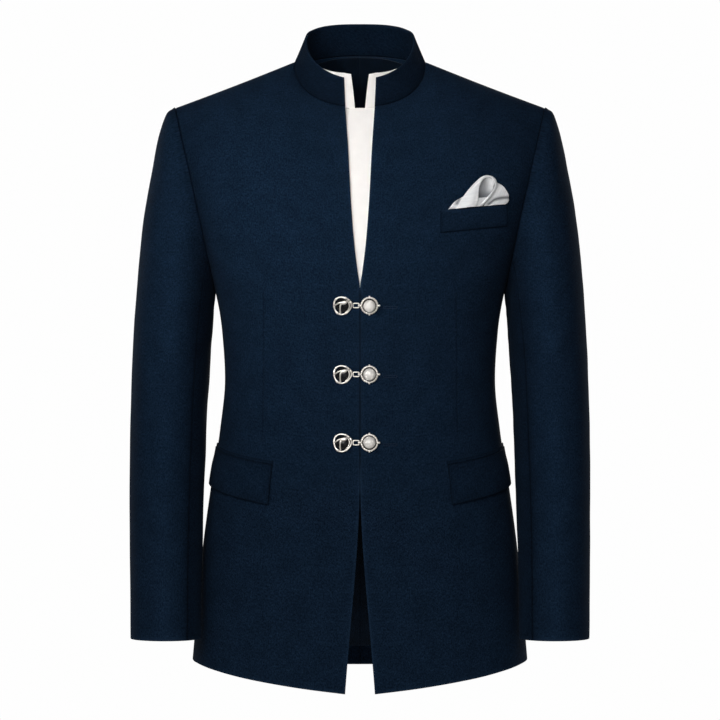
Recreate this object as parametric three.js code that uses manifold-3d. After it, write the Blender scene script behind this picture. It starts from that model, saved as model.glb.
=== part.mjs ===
// Jodhpuri suit jacket: a stand-collar jacket in navy wool, open at the neck over a white insert.
// It is filled out as if worn, hollow, with neck, hem and cuffs open.
// Millimetres. +X is the wearer's left, -Y the front, +Z up. The origin is the middle of the neck,
// level with the two points where the collar seam crosses the shoulder seams.
import * as THREE from "three";
import { mergeVertices } from "three/addons/utils/BufferGeometryUtils.js";
import Module from "manifold-3d";

const wasm = await Module();
wasm.setup();

// Driving sizes of the cut
const NECK_HALF = 78.4; // half the width between the two neck points
const NECK_FRONT = { y: -60, z: -57 }; // pit of the neck, where the front neckline is lowest
const NECK_BACK = { y: 62, z: 12 }; // nape
const TIP = { x: 221.2, y: 4, z: -55 }; // outer end of the shoulder seam
const SHOULDER_SAG = 0.8; // how far the shoulder seam sinks below a straight line
const ARMPIT_Z = -277;
const CHEST_Z = -235; // fullest level of the chest
const BLADE_Z = -190; // fullest level of the back
const V_APEX_Z = -276; // the fronts meet here, below the open neck
const SKIRT_APEX_Z = -487; // and part again here
const OPEN_NECK_HALF = 17.5;
const OPEN_HEM_HALF = 17.6;
const HEM = { side: -716, back: -731.5 };
const SEAM = 0.3; // gap between two sewn pieces
const SLEEVE_GAP = 0.4; // the same at the armhole, measured across
const CLOTH = 2.5; // body cloth with its canvas
const SLEEVE_CLOTH = 2;
const COLLAR_CLOTH = 3;
const COTTON = 1;
const SATIN = 1;

// Numbers of divisions
const FRONT_COLUMNS = 14;
const BACK_COLUMNS = 12;
const NECK_COLUMNS = 7; // of either panel, along its neckline
const SKIRT_ROWS = 10; // hem to armpit
const YOKE_ROWS = 11; // armpit to shoulder

// Body below the armpits: half width, and the depths of front, side seam and back, at each level
const BODY_LEVELS = [
  { z: -760, half: 204.5, front: -121, side: 2, back: 124 },
  { z: -705, half: 199.8, front: -121, side: 2, back: 123 },
  { z: -586, half: 189, front: -119, side: 2, back: 117 },
  { z: -514, half: 179.5, front: -115, side: 2, back: 107 },
  { z: -442, half: 168, front: -111, side: 2, back: 93 },
  { z: -380, half: 162, front: -110, side: 2, back: 88 },
  { z: -322, half: 165.6, front: -115, side: 2, back: 98 },
  { z: ARMPIT_Z, half: 173.2, front: -121, side: 2, back: 109 },
  { z: CHEST_Z, half: 188, front: -123, side: 2, back: 114 },
  { z: -200, half: 202, front: -123, side: 2, back: 117 },
  { z: -150, half: 226, front: -123, side: 3, back: 117 },
  { z: -100, half: 250, front: -123, side: 4, back: 117 },
  { z: 15, half: 285, front: -123, side: 4, back: 117 },
];

// The fronts' hem, from the front edge (0) to the side seam (1)
const FRONT_HEM = [
  { u: 0, z: -749.3 },
  { u: 0.15, z: -744.2 },
  { u: 0.41, z: -734 },
  { u: 0.65, z: -724.3 },
  { u: 0.85, z: -718 },
  { u: 1, z: HEM.side },
];

// Half of the gap between the front edges
const OPENING = [
  { z: -760, half: OPEN_HEM_HALF + 0.6 },
  { z: SKIRT_APEX_Z, half: SEAM / 2 },
  { z: V_APEX_Z, half: SEAM / 2 },
  { z: -252, half: 3 },
  { z: -229, half: 5.9 },
  { z: -205, half: 8.2 },
  { z: -158, half: 11.4 },
  { z: -111, half: 13.8 },
  { z: NECK_FRONT.z, half: OPEN_NECK_HALF },
];

// Sleeve, from armhole to cuff: its outer and inner edges seen from the front, its half depth and its middle
const SLEEVE_LEVELS = [
  { v: 0, outX: 221.2, outZ: TIP.z, inX: 173.2, inZ: ARMPIT_Z, depth: 58, mid: 2 },
  { v: 0.05, outX: 230, outZ: -59, inX: 173.8, inZ: -284, depth: 61, mid: 1 },
  { v: 0.11, outX: 239.5, outZ: -82, inX: 174.8, inZ: -294, depth: 64, mid: 0 },
  { v: 0.2, outX: 249, outZ: -127, inX: 176.2, inZ: -313, depth: 67, mid: -1 },
  { v: 0.32, outX: 259.3, outZ: -190, inX: 178.6, inZ: -346, depth: 69, mid: -3 },
  { v: 0.46, outX: 267.9, outZ: -275, inX: 181.8, inZ: -397, depth: 68, mid: -7 },
  { v: 0.6, outX: 273, outZ: -370, inX: 184.4, inZ: -460, depth: 64, mid: -15 },
  { v: 0.74, outX: 274.6, outZ: -470, inX: 186.6, inZ: -535, depth: 59, mid: -31 },
  { v: 0.88, outX: 273.4, outZ: -581, inX: 188, inZ: -615, depth: 53.5, mid: -52 },
  { v: 1, outX: 271.2, outZ: -687, inX: 188.2, inZ: -687, depth: 48.5, mid: -72 },
];
const SLEEVE_RINGS = [0, 0.025, 0.06, 0.11, 0.18, 0.26, 0.35, 0.45, 0.56, 0.67, 0.78, 0.89, 1];
const SLEEVE_AROUND = 2 * YOKE_ROWS;
const FOREARM_SEAM = 8; // steps round the sleeve from the shoulder, through the front
const HIND_SEAM = 16;
const HEAD_FADE = 0.34; // share of the sleeve over which the armhole's own shape dies away
const MEAN_RADIUS = 60;

// Stand collar: its top edge, and the angles round the neck at which its front end starts
const COLLAR_TOP = { half: 65.3, front: { y: -57, z: -24 }, side: { y: 6, z: 27 }, back: { y: 54, z: 50 } };
const COLLAR_ROUND = 2.7; // how square its top edge is, seen from the back
const COLLAR_START = { seam: 10.27, top: 17.2 };

// White insert: an inner collar band on either side, and a bib with an underlay
// All but gap are shares of the collar
const BAND = { startSeam: -0.042, startTop: -0.051, level: 0.17, rise: 0.17, gap: 0.4 };
const BIB = { top: 1.985, low: -292, gap: 0.9, tuckTop: 24, tuckLow: 16, slantTop: 13.2, slant: 0.114 };
const UNDERLAY = { from: 6, to: 40, low: -135 };
const UNDERLAY_GAP = BIB.gap + COTTON + SEAM;

// Lining of the backs: the turn-up of the cloth below it, its gap to the cloth, and how that grows in the yoke
const LINING = { turnUp: 23, gap: 0.8, growth: 2.6, topMiddle: 1.965, topSide: 1.88 };

// Flapped pockets on the fronts: shares of the panel's width, and heights at the front and rear ends
const FLAP = {
  from: 0.4,
  to: 0.985,
  topFront: -481.3,
  topRear: -461,
  lowFront: -528.3,
  lowRear: -504,
  gap: 0.5,
};
const FLAP_CLOTH = 2.2;
const JET = { height: 4.2, cloth: 1.6 };

// Welt of the breast pocket, on the wearer's left
const WELT = {
  fromX: 94,
  toX: 173.5,
  topFrom: -182.6,
  topTo: -173.8,
  lowFrom: -208.8,
  lowTo: -199.6,
  cloth: 1.8,
};

// Pocket square: its outline above the welt, from the outer end to the armhole end.
// across and up are from the middle of the welt's top edge; out is how far the silk stands from the front.
const SQUARE = [
  { across: -35, up: 0.5, out: 1.5 },
  { across: -30, up: 6.6, out: 4 },
  { across: -21, up: 11.6, out: 6.5 },
  { across: -9.2, up: 24, out: 8 },
  { across: 0, up: 33.6, out: 8.5 },
  { across: 6.2, up: 37.6, out: 7 },
  { across: 12.6, up: 38.2, out: 7 },
  { across: 17.8, up: 34.8, out: 6 },
  { across: 22.2, up: 29.6, out: 3 },
  { across: 27.4, up: 28, out: 4.5 },
  { across: 32.6, up: 22, out: 5 },
  { across: 36, up: 14, out: 4 },
  { across: 34.8, up: 7.5, out: 3 },
  { across: 32.5, up: 4, out: 1.5 },
];
const SQUARE_ROWS = 6;

// Chain-link clasps: the heights of their middles, and the distances of cage and bezel from the middle
const CLASP_HEIGHTS = [-293.6, -374.4, -454.7];
const CLASP_NAMES = ["upper", "middle", "lower"];
const CAGE = { x: -20.6, radius: 10.1, wobble: 0.5, wire: 1.2, height: 2 };
const DOME = { radius: 7.9, height: 4.8 };
const BEZEL = {
  x: 10.9,
  radius: 9.2,
  wire: 1.3,
  height: 2,
  floor: 0.8,
  knob: 1.4,
  knobAt: 10.6,
  eyeRise: 1.5,
};
const PEARL_SIZE = { radius: 7.2, height: 5.6 };
const LINK = { from: -8.1, to: -0.95, half: 2.6, wire: 0.75 };
const CLASP_LIFT = 0.45; // clasps rest this far off the cloth

const cloth = (color, roughness = 0.9) =>
  new THREE.MeshStandardMaterial({ color, roughness, metalness: 0 });
const NAVY = cloth(0x14233a);
const NAVY_SATIN = cloth(0x1b2434, 0.5);
const WHITE = cloth(0xf6f2ee, 0.8);
const SILVER_SATIN = cloth(0xc9cccf, 0.4);
const PEARL = new THREE.MeshStandardMaterial({ color: 0xe8e2dd, roughness: 0.25, metalness: 0 });
const ONYX = new THREE.MeshStandardMaterial({ color: 0x08090c, roughness: 0.15, metalness: 0 });
const SILVER = new THREE.MeshStandardMaterial({ color: 0xb8b1a8, roughness: 0.3, metalness: 1 });

const jacket = new THREE.Group();
const lerp = (a, b, t) => a + (b - a) * t;
const clamp01 = (t) => Math.min(1, Math.max(0, t));
const ease = (t) => clamp01(t) ** 2 * (3 - 2 * clamp01(t));
const radians = (degrees) => (degrees * Math.PI) / 180;
const range = (n) => [...Array(n).keys()];
const steps = (n, from = 0, to = 1) => range(n + 1).map((i) => lerp(from, to, i / n));

// A smooth curve through the rows of a table that never overshoots them.
// Between two rows it is a cubic whose end slopes are the harmonic means of the slopes beside each row.
function curve(rows, key, column) {
  const sorted = [...rows].sort((a, b) => a[key] - b[key]);
  const k = sorted.map((row) => row[key]);
  const c = sorted.map((row) => row[column]);
  const slope = range(k.length - 1).map((i) => (c[i + 1] - c[i]) / (k[i + 1] - k[i]));
  const tangent = k.map((_, i) => {
    if (i === 0 || i === k.length - 1) return slope[Math.min(i, slope.length - 1)];
    const product = slope[i - 1] * slope[i];
    return product <= 0 ? 0 : (2 * product) / (slope[i - 1] + slope[i]);
  });
  return (at) => {
    const i = Math.min(Math.max(k.findIndex((value) => value > at), 1), k.length - 1) - 1;
    const j = at >= k[k.length - 1] ? k.length - 2 : i;
    const w = k[j + 1] - k[j];
    const t = clamp01((at - k[j]) / w);
    const rise = t * t * (3 - 2 * t);
    return (
      c[j] * (1 - rise) + c[j + 1] * rise +
      w * (tangent[j] * t * (1 - t) ** 2 - tangent[j + 1] * t * t * (1 - t))
    );
  };
}
const bodyHalf = curve(BODY_LEVELS, "z", "half");
const bodySide = curve(BODY_LEVELS, "z", "side");
const opening = curve(OPENING, "z", "half");

// What differs between the front and the back of the body.
// round is the exponent of its level sections: 2 is an ellipse, and more is squarer.
// scoop is how far the armhole is cut in behind a straight line.
const FRONT = {
  sign: -1,
  depth: curve(BODY_LEVELS, "z", "front"),
  round: 2.35,
  full: CHEST_Z,
  hem: curve(FRONT_HEM, "u", "z"),
  scoop: 2,
  edge: opening,
  neck: NECK_FRONT,
  neckRound: 2.3,
  neckStart: 10.27,
  columns: FRONT_COLUMNS,
};
const BACK = {
  sign: 1,
  depth: curve(BODY_LEVELS, "z", "back"),
  round: 2.5,
  full: BLADE_Z,
  hem: (u) => lerp(HEM.back, HEM.side, u ** 2),
  scoop: -5,
  edge: () => SEAM / 2,
  neck: NECK_BACK,
  neckRound: 2.3,
  neckStart: 0.1,
  columns: BACK_COLUMNS,
};
const neckShare = (face) => NECK_COLUMNS / face.columns;
const sideShare = (u) => Math.sin((u * Math.PI) / 2);
const MIDDLE_U = -0.045; // the fronts' columns run on this far towards the middle, for the bib
const CORNER_REACH = 0.2;
const CORNER_STEPS = [-1, -0.72, -0.45, -0.22, 0, 0.22, 0.45, 0.72, 1];
const CORNER_FADE = 0.22; // share of the yoke's height over which the neck point's corner dies away

// A point of the neckline. Angle 0 is the middle of the front or back, 90 degrees the shoulder.
function neckline(face, angle) {
  const out = Math.max(0, Math.sin(angle)) ** (2 / face.neckRound);
  const along = Math.max(0, Math.cos(angle));
  const drop = face === FRONT ? along ** (2 / face.neckRound) : along ** 2;
  return new THREE.Vector3(NECK_HALF * out, face.neck.y * along ** 0.92, face.neck.z * drop);
}

// The upper edge of a panel: its neckline, then its shoulder seam
function topEdge(face, u) {
  const share = neckShare(face);
  if (u <= share) return neckline(face, radians(lerp(face.neckStart, 90, u / share)));
  const t = (u - share) / (1 - share);
  const sag = SHOULDER_SAG * Math.sin(Math.PI * t);
  return new THREE.Vector3(lerp(NECK_HALF, TIP.x, t), TIP.y * t, TIP.z * t - sag);
}

// The upper edge with its corner at the neck point rounded off, as a mean of its neighbours
function roundedTop(face, u) {
  const reach = Math.max(0, Math.min(CORNER_REACH, u, 1 - u));
  const mean = new THREE.Vector3();
  for (const step of CORNER_STEPS) mean.add(topEdge(face, u + step * reach));
  return mean.divideScalar(CORNER_STEPS.length);
}

// The armhole's distance from the middle, seen from the front, at a share of its height
const armhole = (face, rise) =>
  lerp(bodyHalf(ARMPIT_Z), TIP.x, rise) - face.scoop * Math.sin(Math.PI * rise);

// A point of the body's outer surface on the wearer's left.
// u runs from the middle (0) to the side seam and armhole (1).
// v runs from the hem (0) to the armpit (1) and the top (2).
// A level section is part of a superellipse. Above the fullest level it draws in to neckline and shoulder.
function shell(face, u, v) {
  const s = sideShare(u);
  const top = roundedTop(face, u);
  const corner = topEdge(face, u).sub(top);
  let x;
  let z;
  if (v <= 1) {
    z = lerp(face.hem(u), ARMPIT_Z, v);
    x = lerp(face.edge(z), bodyHalf(z), s);
  } else {
    const k = (1 - Math.cos(Math.PI * (v - 1))) / 2;
    const [low, high] = [face.edge(ARMPIT_Z), topEdge(face, 0).x];
    z = lerp(ARMPIT_Z, top.z, k);
    x = lerp(lerp(low, bodyHalf(ARMPIT_Z), s), top.x, k);
    x += (1 - s) * (face.edge(lerp(ARMPIT_Z, topEdge(face, 0).z, k)) - lerp(low, high, k));
    x += s * (armhole(face, k) - lerp(bodyHalf(ARMPIT_Z), TIP.x, k));
  }
  const across = clamp01(x / bodyHalf(z)) ** face.round;
  const section = lerp(bodySide(z), face.depth(z), (1 - across) ** (1 / face.round));
  const down = clamp01((top.z - z) / (top.z - face.full));
  const soft = lerp(1.05, 1.75, ease((u - 0.1) / 0.75));
  const fullness = (1 - (1 - down) ** 1.8) ** (1 / soft);
  const y = lerp(top.y, section, fullness);
  const point = new THREE.Vector3(x, y + (face.sign * SEAM) / 2, z);
  return point.addScaledVector(corner, (1 - clamp01(down / CORNER_FADE)) ** 2);
}

// The unit normal of a surface f(a, b), by small steps that stay inside its limits
function normalOf(f, a, b, sign, [aLow, aHigh] = [0, 1], [bLow, bHigh] = [0, 1]) {
  const step = 1e-3;
  const [a0, a1] = [Math.max(aLow, a - step), Math.min(aHigh, a + step)];
  const [b0, b1] = [Math.max(bLow, b - step), Math.min(bHigh, b + step)];
  const across = f(a1, b).sub(f(a0, b));
  const along = f(a, b1).sub(f(a, b0));
  return across.cross(along).normalize().multiplyScalar(sign);
}
function shellNormal(face, u, v) {
  const normal = normalOf((a, b) => shell(face, a, b), u, v, -face.sign, [MIDDLE_U, 1], [0, 2]);
  if (v === 2 && u >= neckShare(face)) normal.setY(0).normalize(); // both sides of the shoulder seam alike
  return normal;
}

// The shell moved out along its normal, or in where the distance is negative
const shellAt = (face, u, v, out) => shell(face, u, v).addScaledVector(shellNormal(face, u, v), out);

// A closed solid between two grids of points with the same rows and columns
function between(outer, inner) {
  const rows = outer.length;
  const columns = outer[0].length;
  const points = [...outer.flat(), ...inner.flat()];
  const at = (layer, i, j) => layer * rows * columns + i * columns + j;
  const triangles = [];
  const quad = (a, b, c, d) => triangles.push(a, b, c, a, c, d);
  for (const i of range(rows - 1))
    for (const j of range(columns - 1)) {
      quad(at(0, i, j), at(0, i, j + 1), at(0, i + 1, j + 1), at(0, i + 1, j));
      quad(at(1, i, j), at(1, i + 1, j), at(1, i + 1, j + 1), at(1, i, j + 1));
    }
  for (const j of range(columns - 1)) {
    quad(at(0, 0, j + 1), at(0, 0, j), at(1, 0, j), at(1, 0, j + 1));
    quad(at(0, rows - 1, j), at(0, rows - 1, j + 1), at(1, rows - 1, j + 1), at(1, rows - 1, j));
  }
  for (const i of range(rows - 1)) {
    quad(at(0, i, 0), at(0, i + 1, 0), at(1, i + 1, 0), at(1, i, 0));
    const [low, high] = [at(0, i, columns - 1), at(0, i + 1, columns - 1)];
    quad(high, low, low + rows * columns, high + rows * columns);
  }
  const position = new Float32Array(points.flatMap((p) => [p.x, p.y, p.z]));
  const geometry = new THREE.BufferGeometry();
  geometry.setAttribute("position", new THREE.BufferAttribute(position, 3));
  geometry.setIndex(triangles);
  return facingOut(geometry);
}

// Turns a closed geometry's faces outwards, whichever way its grids were wound
function facingOut(geometry) {
  const p = geometry.attributes.position;
  const index = [...geometry.index.array];
  const [a, b, c] = range(3).map(() => new THREE.Vector3());
  let volume = 0;
  for (let i = 0; i < index.length; i += 3) {
    a.fromBufferAttribute(p, index[i]);
    b.fromBufferAttribute(p, index[i + 1]);
    c.fromBufferAttribute(p, index[i + 2]);
    volume += a.dot(b.cross(c));
  }
  if (volume < 0) index.reverse();
  geometry.setIndex(index);
  geometry.computeVertexNormals();
  return geometry;
}

function mirrored(geometry) {
  const copy = geometry.clone();
  copy.scale(-1, 1, 1);
  return facingOut(copy);
}

// A wall whose outer surface is f(a, b) over the values as and bs, with its normals from n(a, b)
function wall(f, n, as, bs, thickness) {
  const outer = bs.map((b) => as.map((a) => f(a, b)));
  const inner = bs.map((b, i) => as.map((a, j) => outer[i][j].clone().addScaledVector(n(a, b), -thickness)));
  return between(outer, inner);
}

function add(name, geometry, material) {
  const mesh = new THREE.Mesh(geometry, material);
  mesh.name = name;
  jacket.add(mesh);
  return mesh;
}

function addPair(name, geometry, material) {
  add(`${name}_left`, geometry, material);
  add(`${name}_right`, mirrored(geometry), material);
}

// Body: two fronts and two backs, joined at the centre back, sides and shoulders
const panelRows = [...steps(SKIRT_ROWS), ...steps(YOKE_ROWS, 1, 2).slice(1)];

function bodyPanel(face) {
  return wall(
    (u, v) => shell(face, u, v),
    (u, v) => shellNormal(face, u, v),
    steps(face.columns),
    panelRows,
    CLOTH,
  );
}
addPair("front", bodyPanel(FRONT), NAVY);
addPair("back", bodyPanel(BACK), NAVY);

// The armhole seam on the wearer's left, round from the shoulder through the front
function armholeSeam(angle) {
  const face = angle <= Math.PI ? FRONT : BACK;
  const v = 1 + Math.abs(1 - angle / Math.PI);
  return { point: shell(face, 1, v), normal: shellNormal(face, 1, v) };
}

// Sleeve: rings that start on the armhole seam and turn level towards the cuff.
// Each ring is an ellipse between its outer and inner edges; the armhole's own shape is added and dies away.
const sleeveColumns = ["outX", "outZ", "inX", "inZ", "depth", "mid"];
const sleeveCurves = sleeveColumns.map((column) => curve(SLEEVE_LEVELS, "v", column));

function sleeveEllipse(angle, v) {
  const [outX, outZ, inX, inZ, depth, mid] = sleeveCurves.map((f) => f(v));
  const k = (1 + Math.cos(angle)) / 2;
  return new THREE.Vector3(lerp(inX, outX, k), mid - depth * Math.sin(angle), lerp(inZ, outZ, k));
}

function sleeve(angle, v) {
  const seam = armholeSeam(angle).point.sub(sleeveEllipse(angle, 0));
  const fade = clamp01(1 - v / HEAD_FADE) ** 2;
  return sleeveEllipse(angle, v).addScaledVector(seam, fade).add(new THREE.Vector3(SLEEVE_GAP, 0, 0));
}

// At the armhole the sleeve's edge leans no further out than the body's, so that the two edges stay apart
function sleeveNormal(angle, v) {
  const own = normalOf(sleeve, angle, v, 1, [-1, 7]);
  if (v > 0) return own;
  const body = armholeSeam(angle).normal;
  return own.x > body.x ? body : own;
}

function sleevePiece(from, to) {
  const turn = (2 * Math.PI) / SLEEVE_AROUND;
  const trim = SEAM / 2 / MEAN_RADIUS; // half a seam, as an angle
  const angles = range(to - from + 1).map((i) => {
    const nudge = i === 0 ? trim : i === to - from ? -trim : 0;
    return (from + i) * turn + nudge;
  });
  const around = (angle) => (angle + 2 * Math.PI) % (2 * Math.PI);
  return wall(
    (a, v) => sleeve(around(a), v),
    (a, v) => sleeveNormal(around(a), v),
    angles,
    SLEEVE_RINGS,
    SLEEVE_CLOTH,
  );
}
addPair("top_sleeve", sleevePiece(HIND_SEAM - SLEEVE_AROUND, FOREARM_SEAM), NAVY);
addPair("under_sleeve", sleevePiece(FOREARM_SEAM, HIND_SEAM), NAVY);


// The share u at which the front lies at a distance x from the middle, by halving
function frontShare(x, v) {
  let [low, high] = [MIDDLE_U, 1];
  for (const _ of range(40)) {
    const middle = (low + high) / 2;
    if (shell(FRONT, middle, v).x < x) low = middle;
    else high = middle;
  }
  return (low + high) / 2;
}

// The shares of the front at a distance x from the middle and a height z
function frontPlace(x, z) {
  let [low, high] = [0, 2];
  for (const _ of range(30)) {
    const middle = (low + high) / 2;
    if (shell(FRONT, frontShare(x, middle), middle).z < z) low = middle;
    else high = middle;
  }
  const v = (low + high) / 2;
  return { u: frontShare(x, v), v };
}

// Stand collar: straight lines from the neckline to its top edge.
// c runs from the front end (0) round to the centre back (1), and t from the seam (0) to the top (1).
function collarTop(angle) {
  const { half, front, side, back } = COLLAR_TOP;
  const turn = ease((angle - radians(55)) / radians(70));
  const y = side.y - Math.cos(angle) * lerp(side.y - front.y, back.y - side.y, turn);
  const squareness = lerp(1, 2 / COLLAR_ROUND, turn);
  const rise = -Math.sign(Math.cos(angle)) * Math.abs(Math.cos(angle)) ** squareness;
  const z = side.z + rise * lerp(side.z - front.z, back.z - side.z, turn);
  return new THREE.Vector3(half * Math.max(0, Math.sin(angle)) ** squareness, y, z);
}
function collar(c, t) {
  const seam = radians(lerp(COLLAR_START.seam, 180, c));
  const low = seam <= Math.PI / 2 ? neckline(FRONT, seam) : neckline(BACK, Math.PI - seam);
  return low.lerp(collarTop(radians(lerp(COLLAR_START.top, 180, c))), t);
}
const COLLAR_LIFT = 0.012; // share of the collar's height that leaves the neck seam open
function collarNormal(c, t) {
  const normal = normalOf(collar, c, t, 1, [BAND.startTop, 1], [-1, 2]);
  return t > COLLAR_LIFT ? normal : normal.setZ(0).normalize(); // a level lower edge, clear of the body
}

// The shares of the collar that meet the panels' columns along the neckline
const frontNodes = steps(NECK_COLUMNS, COLLAR_START.seam, 90);
const backNodes = steps(NECK_COLUMNS, 90, 180).slice(1);
const seamSpan = 180 - COLLAR_START.seam;
const collarNodes = [...frontNodes, ...backNodes].map((a) => (a - COLLAR_START.seam) / seamSpan);
const wholeNodes = [...collarNodes, ...collarNodes.slice(0, -1).reverse().map((c) => 2 - c)];

// A half given from the front end to the centre back, carried on round the other side
function wholeCollar(f) {
  return (c, t) => {
    if (c <= 1) return f(c, t);
    const point = f(2 - c, t);
    return point.setX(-point.x);
  };
}
const collarRows = [COLLAR_LIFT, 0.35, 0.7, 1];
const stand = wall(wholeCollar(collar), wholeCollar(collarNormal), wholeNodes, collarRows, COLLAR_CLOTH);
add("collar_stand", stand, NAVY);

// White inner band: lies inside the collar, runs past its front end and rises above it there
function band(node, t) {
  const c = node < 0 ? lerp(BAND.startSeam, BAND.startTop, t) : node;
  const top = 1 + BAND.rise * (1 - Math.max(c, 0) / BAND.level);
  const height = lerp(0.04, top, t);
  return collar(c, height).addScaledVector(collarNormal(c, Math.min(height, 1)), -(COLLAR_CLOTH + BAND.gap));
}
const bandNormal = (node, t) => collarNormal(Math.max(node, BAND.startSeam), 0.5);
const bandNodes = [-1, ...collarNodes.slice(0, 5)];
addPair("white_band", wall(band, bandNormal, bandNodes, [0, 0.32, 0.64, 0.88, 1], COTTON), WHITE);

// White bib: lies behind both fronts and fills the open neck
function behindFront(x, v, gap) {
  const u = frontShare(Math.abs(x), v);
  const point = shell(FRONT, u, v).addScaledVector(shellNormal(FRONT, u, v), -(CLOTH + gap));
  return point.setX(x);
}
const bibLow = frontPlace(12, BIB.low).v;
function bib(share, t) {
  const v = lerp(BIB.top, bibLow, t);
  const level = shell(FRONT, 0, v).z;
  const edge = opening(level);
  const right = -(BIB.slantTop + BIB.slant * (NECK_FRONT.z - level));
  const left = edge + lerp(BIB.tuckTop, BIB.tuckLow, t);
  return behindFront(lerp(Math.max(right, -left), left, share), v, BIB.gap);
}
const bibNormal = (f) => (a, b) => normalOf(f, a, b, -1);
add("bib", wall(bib, bibNormal(bib), steps(10), steps(12), COTTON), WHITE);

const underlayLow = frontPlace(12, UNDERLAY.low).v;
const underlay = (share, t) =>
  behindFront(-lerp(UNDERLAY.to, UNDERLAY.from, share), lerp(BIB.top, underlayLow, t), UNDERLAY_GAP);
add("bib_underlay", wall(underlay, bibNormal(underlay), steps(5), steps(5), COTTON), WHITE);

// Lining of the backs, which shows through the neck and through the parted fronts
function lining(u, v) {
  const hem = shell(BACK, u, 0).z;
  const start = LINING.turnUp / (ARMPIT_Z - hem);
  const end = lerp(LINING.topMiddle, LINING.topSide, ease(u / 0.4));
  const at = v <= 1 ? lerp(start, 1, v) : lerp(1, end, v - 1);
  return shellAt(BACK, u, at, -(CLOTH + LINING.gap * lerp(1, LINING.growth, ease((at - 1.1) / 0.4))));
}
const liningColumns = [0, 3, 5, 6, 7, 8, 10, 12].map((i) => lerp(0.002, 0.985, i / BACK_COLUMNS));
const liningNormal = (u, v) => normalOf(lining, u, v, -1, [0, 1], [0, 2]);
addPair("back_lining", wall(lining, liningNormal, liningColumns, panelRows, SATIN), NAVY_SATIN);

// Flap and jet of the hip pockets: strips of the front, moved out
function frontStrip(from, to, high, low, gap, cloth) {
  const strip = (share, t) => {
    const u = lerp(from, to, share);
    const z = lerp(high(share), low(share), t);
    const hem = shell(FRONT, u, 0).z;
    return shellAt(FRONT, u, (z - hem) / (ARMPIT_Z - hem), gap + cloth);
  };
  const normal = (share, t) => normalOf(strip, share, t, -1);
  return (columns, rows) => wall(strip, normal, steps(columns), steps(rows), cloth);
}
const flapTop = (share) => lerp(FLAP.topFront, FLAP.topRear, share);
const flapLow = (share) => lerp(FLAP.lowFront, FLAP.lowRear, share);
const jetTop = (share) => flapTop(share) + SEAM + JET.height;
const jetLow = (share) => flapTop(share) + SEAM;
addPair("flap", frontStrip(FLAP.from, FLAP.to, flapTop, flapLow, FLAP.gap, FLAP_CLOTH)(9, 3), NAVY);
addPair("pocket_jet", frontStrip(FLAP.from, FLAP.to, jetTop, jetLow, FLAP.gap, JET.cloth)(9, 1), NAVY);

// Breast welt, and a point of the front beside it
function overFront(x, z, out) {
  const { u, v } = frontPlace(x, z);
  return shellAt(FRONT, u, v, out);
}
const weltTop = (share) => lerp(WELT.topFrom, WELT.topTo, share);
function welt(share, t) {
  const z = lerp(weltTop(share), lerp(WELT.lowFrom, WELT.lowTo, share), t);
  return overFront(lerp(WELT.fromX, WELT.toX, share), z, SEAM + WELT.cloth);
}
add("breast_welt", wall(welt, (a, b) => normalOf(welt, a, b, -1), steps(7), steps(2), WELT.cloth), NAVY);

// Pocket square: a puffed sheet of silk that rises from the welt, standing off the front in lobes
const squareCurves = ["across", "up", "out"].map((column) => {
  const rows = SQUARE.map((row, i) => ({ at: i / (SQUARE.length - 1), value: row[column] }));
  return curve(rows, "at", "value");
});
const weltMiddle = { x: (WELT.fromX + WELT.toX) / 2 - 1, z: (WELT.topFrom + WELT.topTo) / 2 };
const weltSlope = (WELT.topTo - WELT.topFrom) / (WELT.toX - WELT.fromX);
function square(share, t) {
  const [across, up, out] = squareCurves.map((f) => f(share));
  const foot = lerp(-32, 31, share);
  const spread = lerp(foot, across, t);
  const rise = SEAM + lerp(0, up, t);
  const puff = out * Math.sin(Math.PI * lerp(0.12, 0.93, t)) ** 0.8;
  const x = weltMiddle.x + spread;
  return overFront(x, weltMiddle.z + weltSlope * spread + rise, SEAM + COTTON + 0.3 + puff);
}
const squareWall = wall(square, (a, b) => normalOf(square, a, b, 1), steps(16), steps(SQUARE_ROWS), COTTON);
add("pocket_square", squareWall, SILVER_SATIN);

// Clasp parts are made about their own middle: x across, y up the front, z out of the cloth
function wireLoop(points, radius, sides) {
  const path = new THREE.CatmullRomCurve3(points, true);
  return new THREE.TubeGeometry(path, points.length, radius, sides, true);
}
function wireBar(points, radius, sides, count) {
  const corners = range(sides).map((i) => (2 * Math.PI * i) / sides);
  const outline = corners.map((a) => new THREE.Vector2(radius * Math.cos(a), radius * Math.sin(a)));
  const section = new THREE.Shape(outline);
  const extrudePath = new THREE.CatmullRomCurve3(points);
  return new THREE.ExtrudeGeometry(section, { steps: count, extrudePath, bevelEnabled: false });
}

// A round solid turned about z, from a profile of radius and height
function turned(profile, sides) {
  const points = profile.map(([radius, height]) => new THREE.Vector2(radius, height));
  return new THREE.LatheGeometry(points, sides).rotateX(Math.PI / 2);
}

function solidOf(geometry) {
  const bare = geometry.clone();
  bare.deleteAttribute("normal");
  bare.deleteAttribute("uv");
  const merged = mergeVertices(bare, 1e-3);
  const vertProperties = merged.attributes.position.array;
  const triVerts = new Uint32Array(merged.index.array);
  return new wasm.Manifold(new wasm.Mesh({ numProp: 3, vertProperties, triVerts }));
}

function joined(geometries) {
  const solid = wasm.Manifold.union(geometries.map(solidOf));
  const mesh = solid.getMesh();
  const geometry = new THREE.BufferGeometry();
  geometry.setAttribute("position", new THREE.BufferAttribute(new Float32Array(mesh.vertProperties), 3));
  geometry.setIndex([...mesh.triVerts]);
  geometry.computeVertexNormals();
  return geometry;
}

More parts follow.
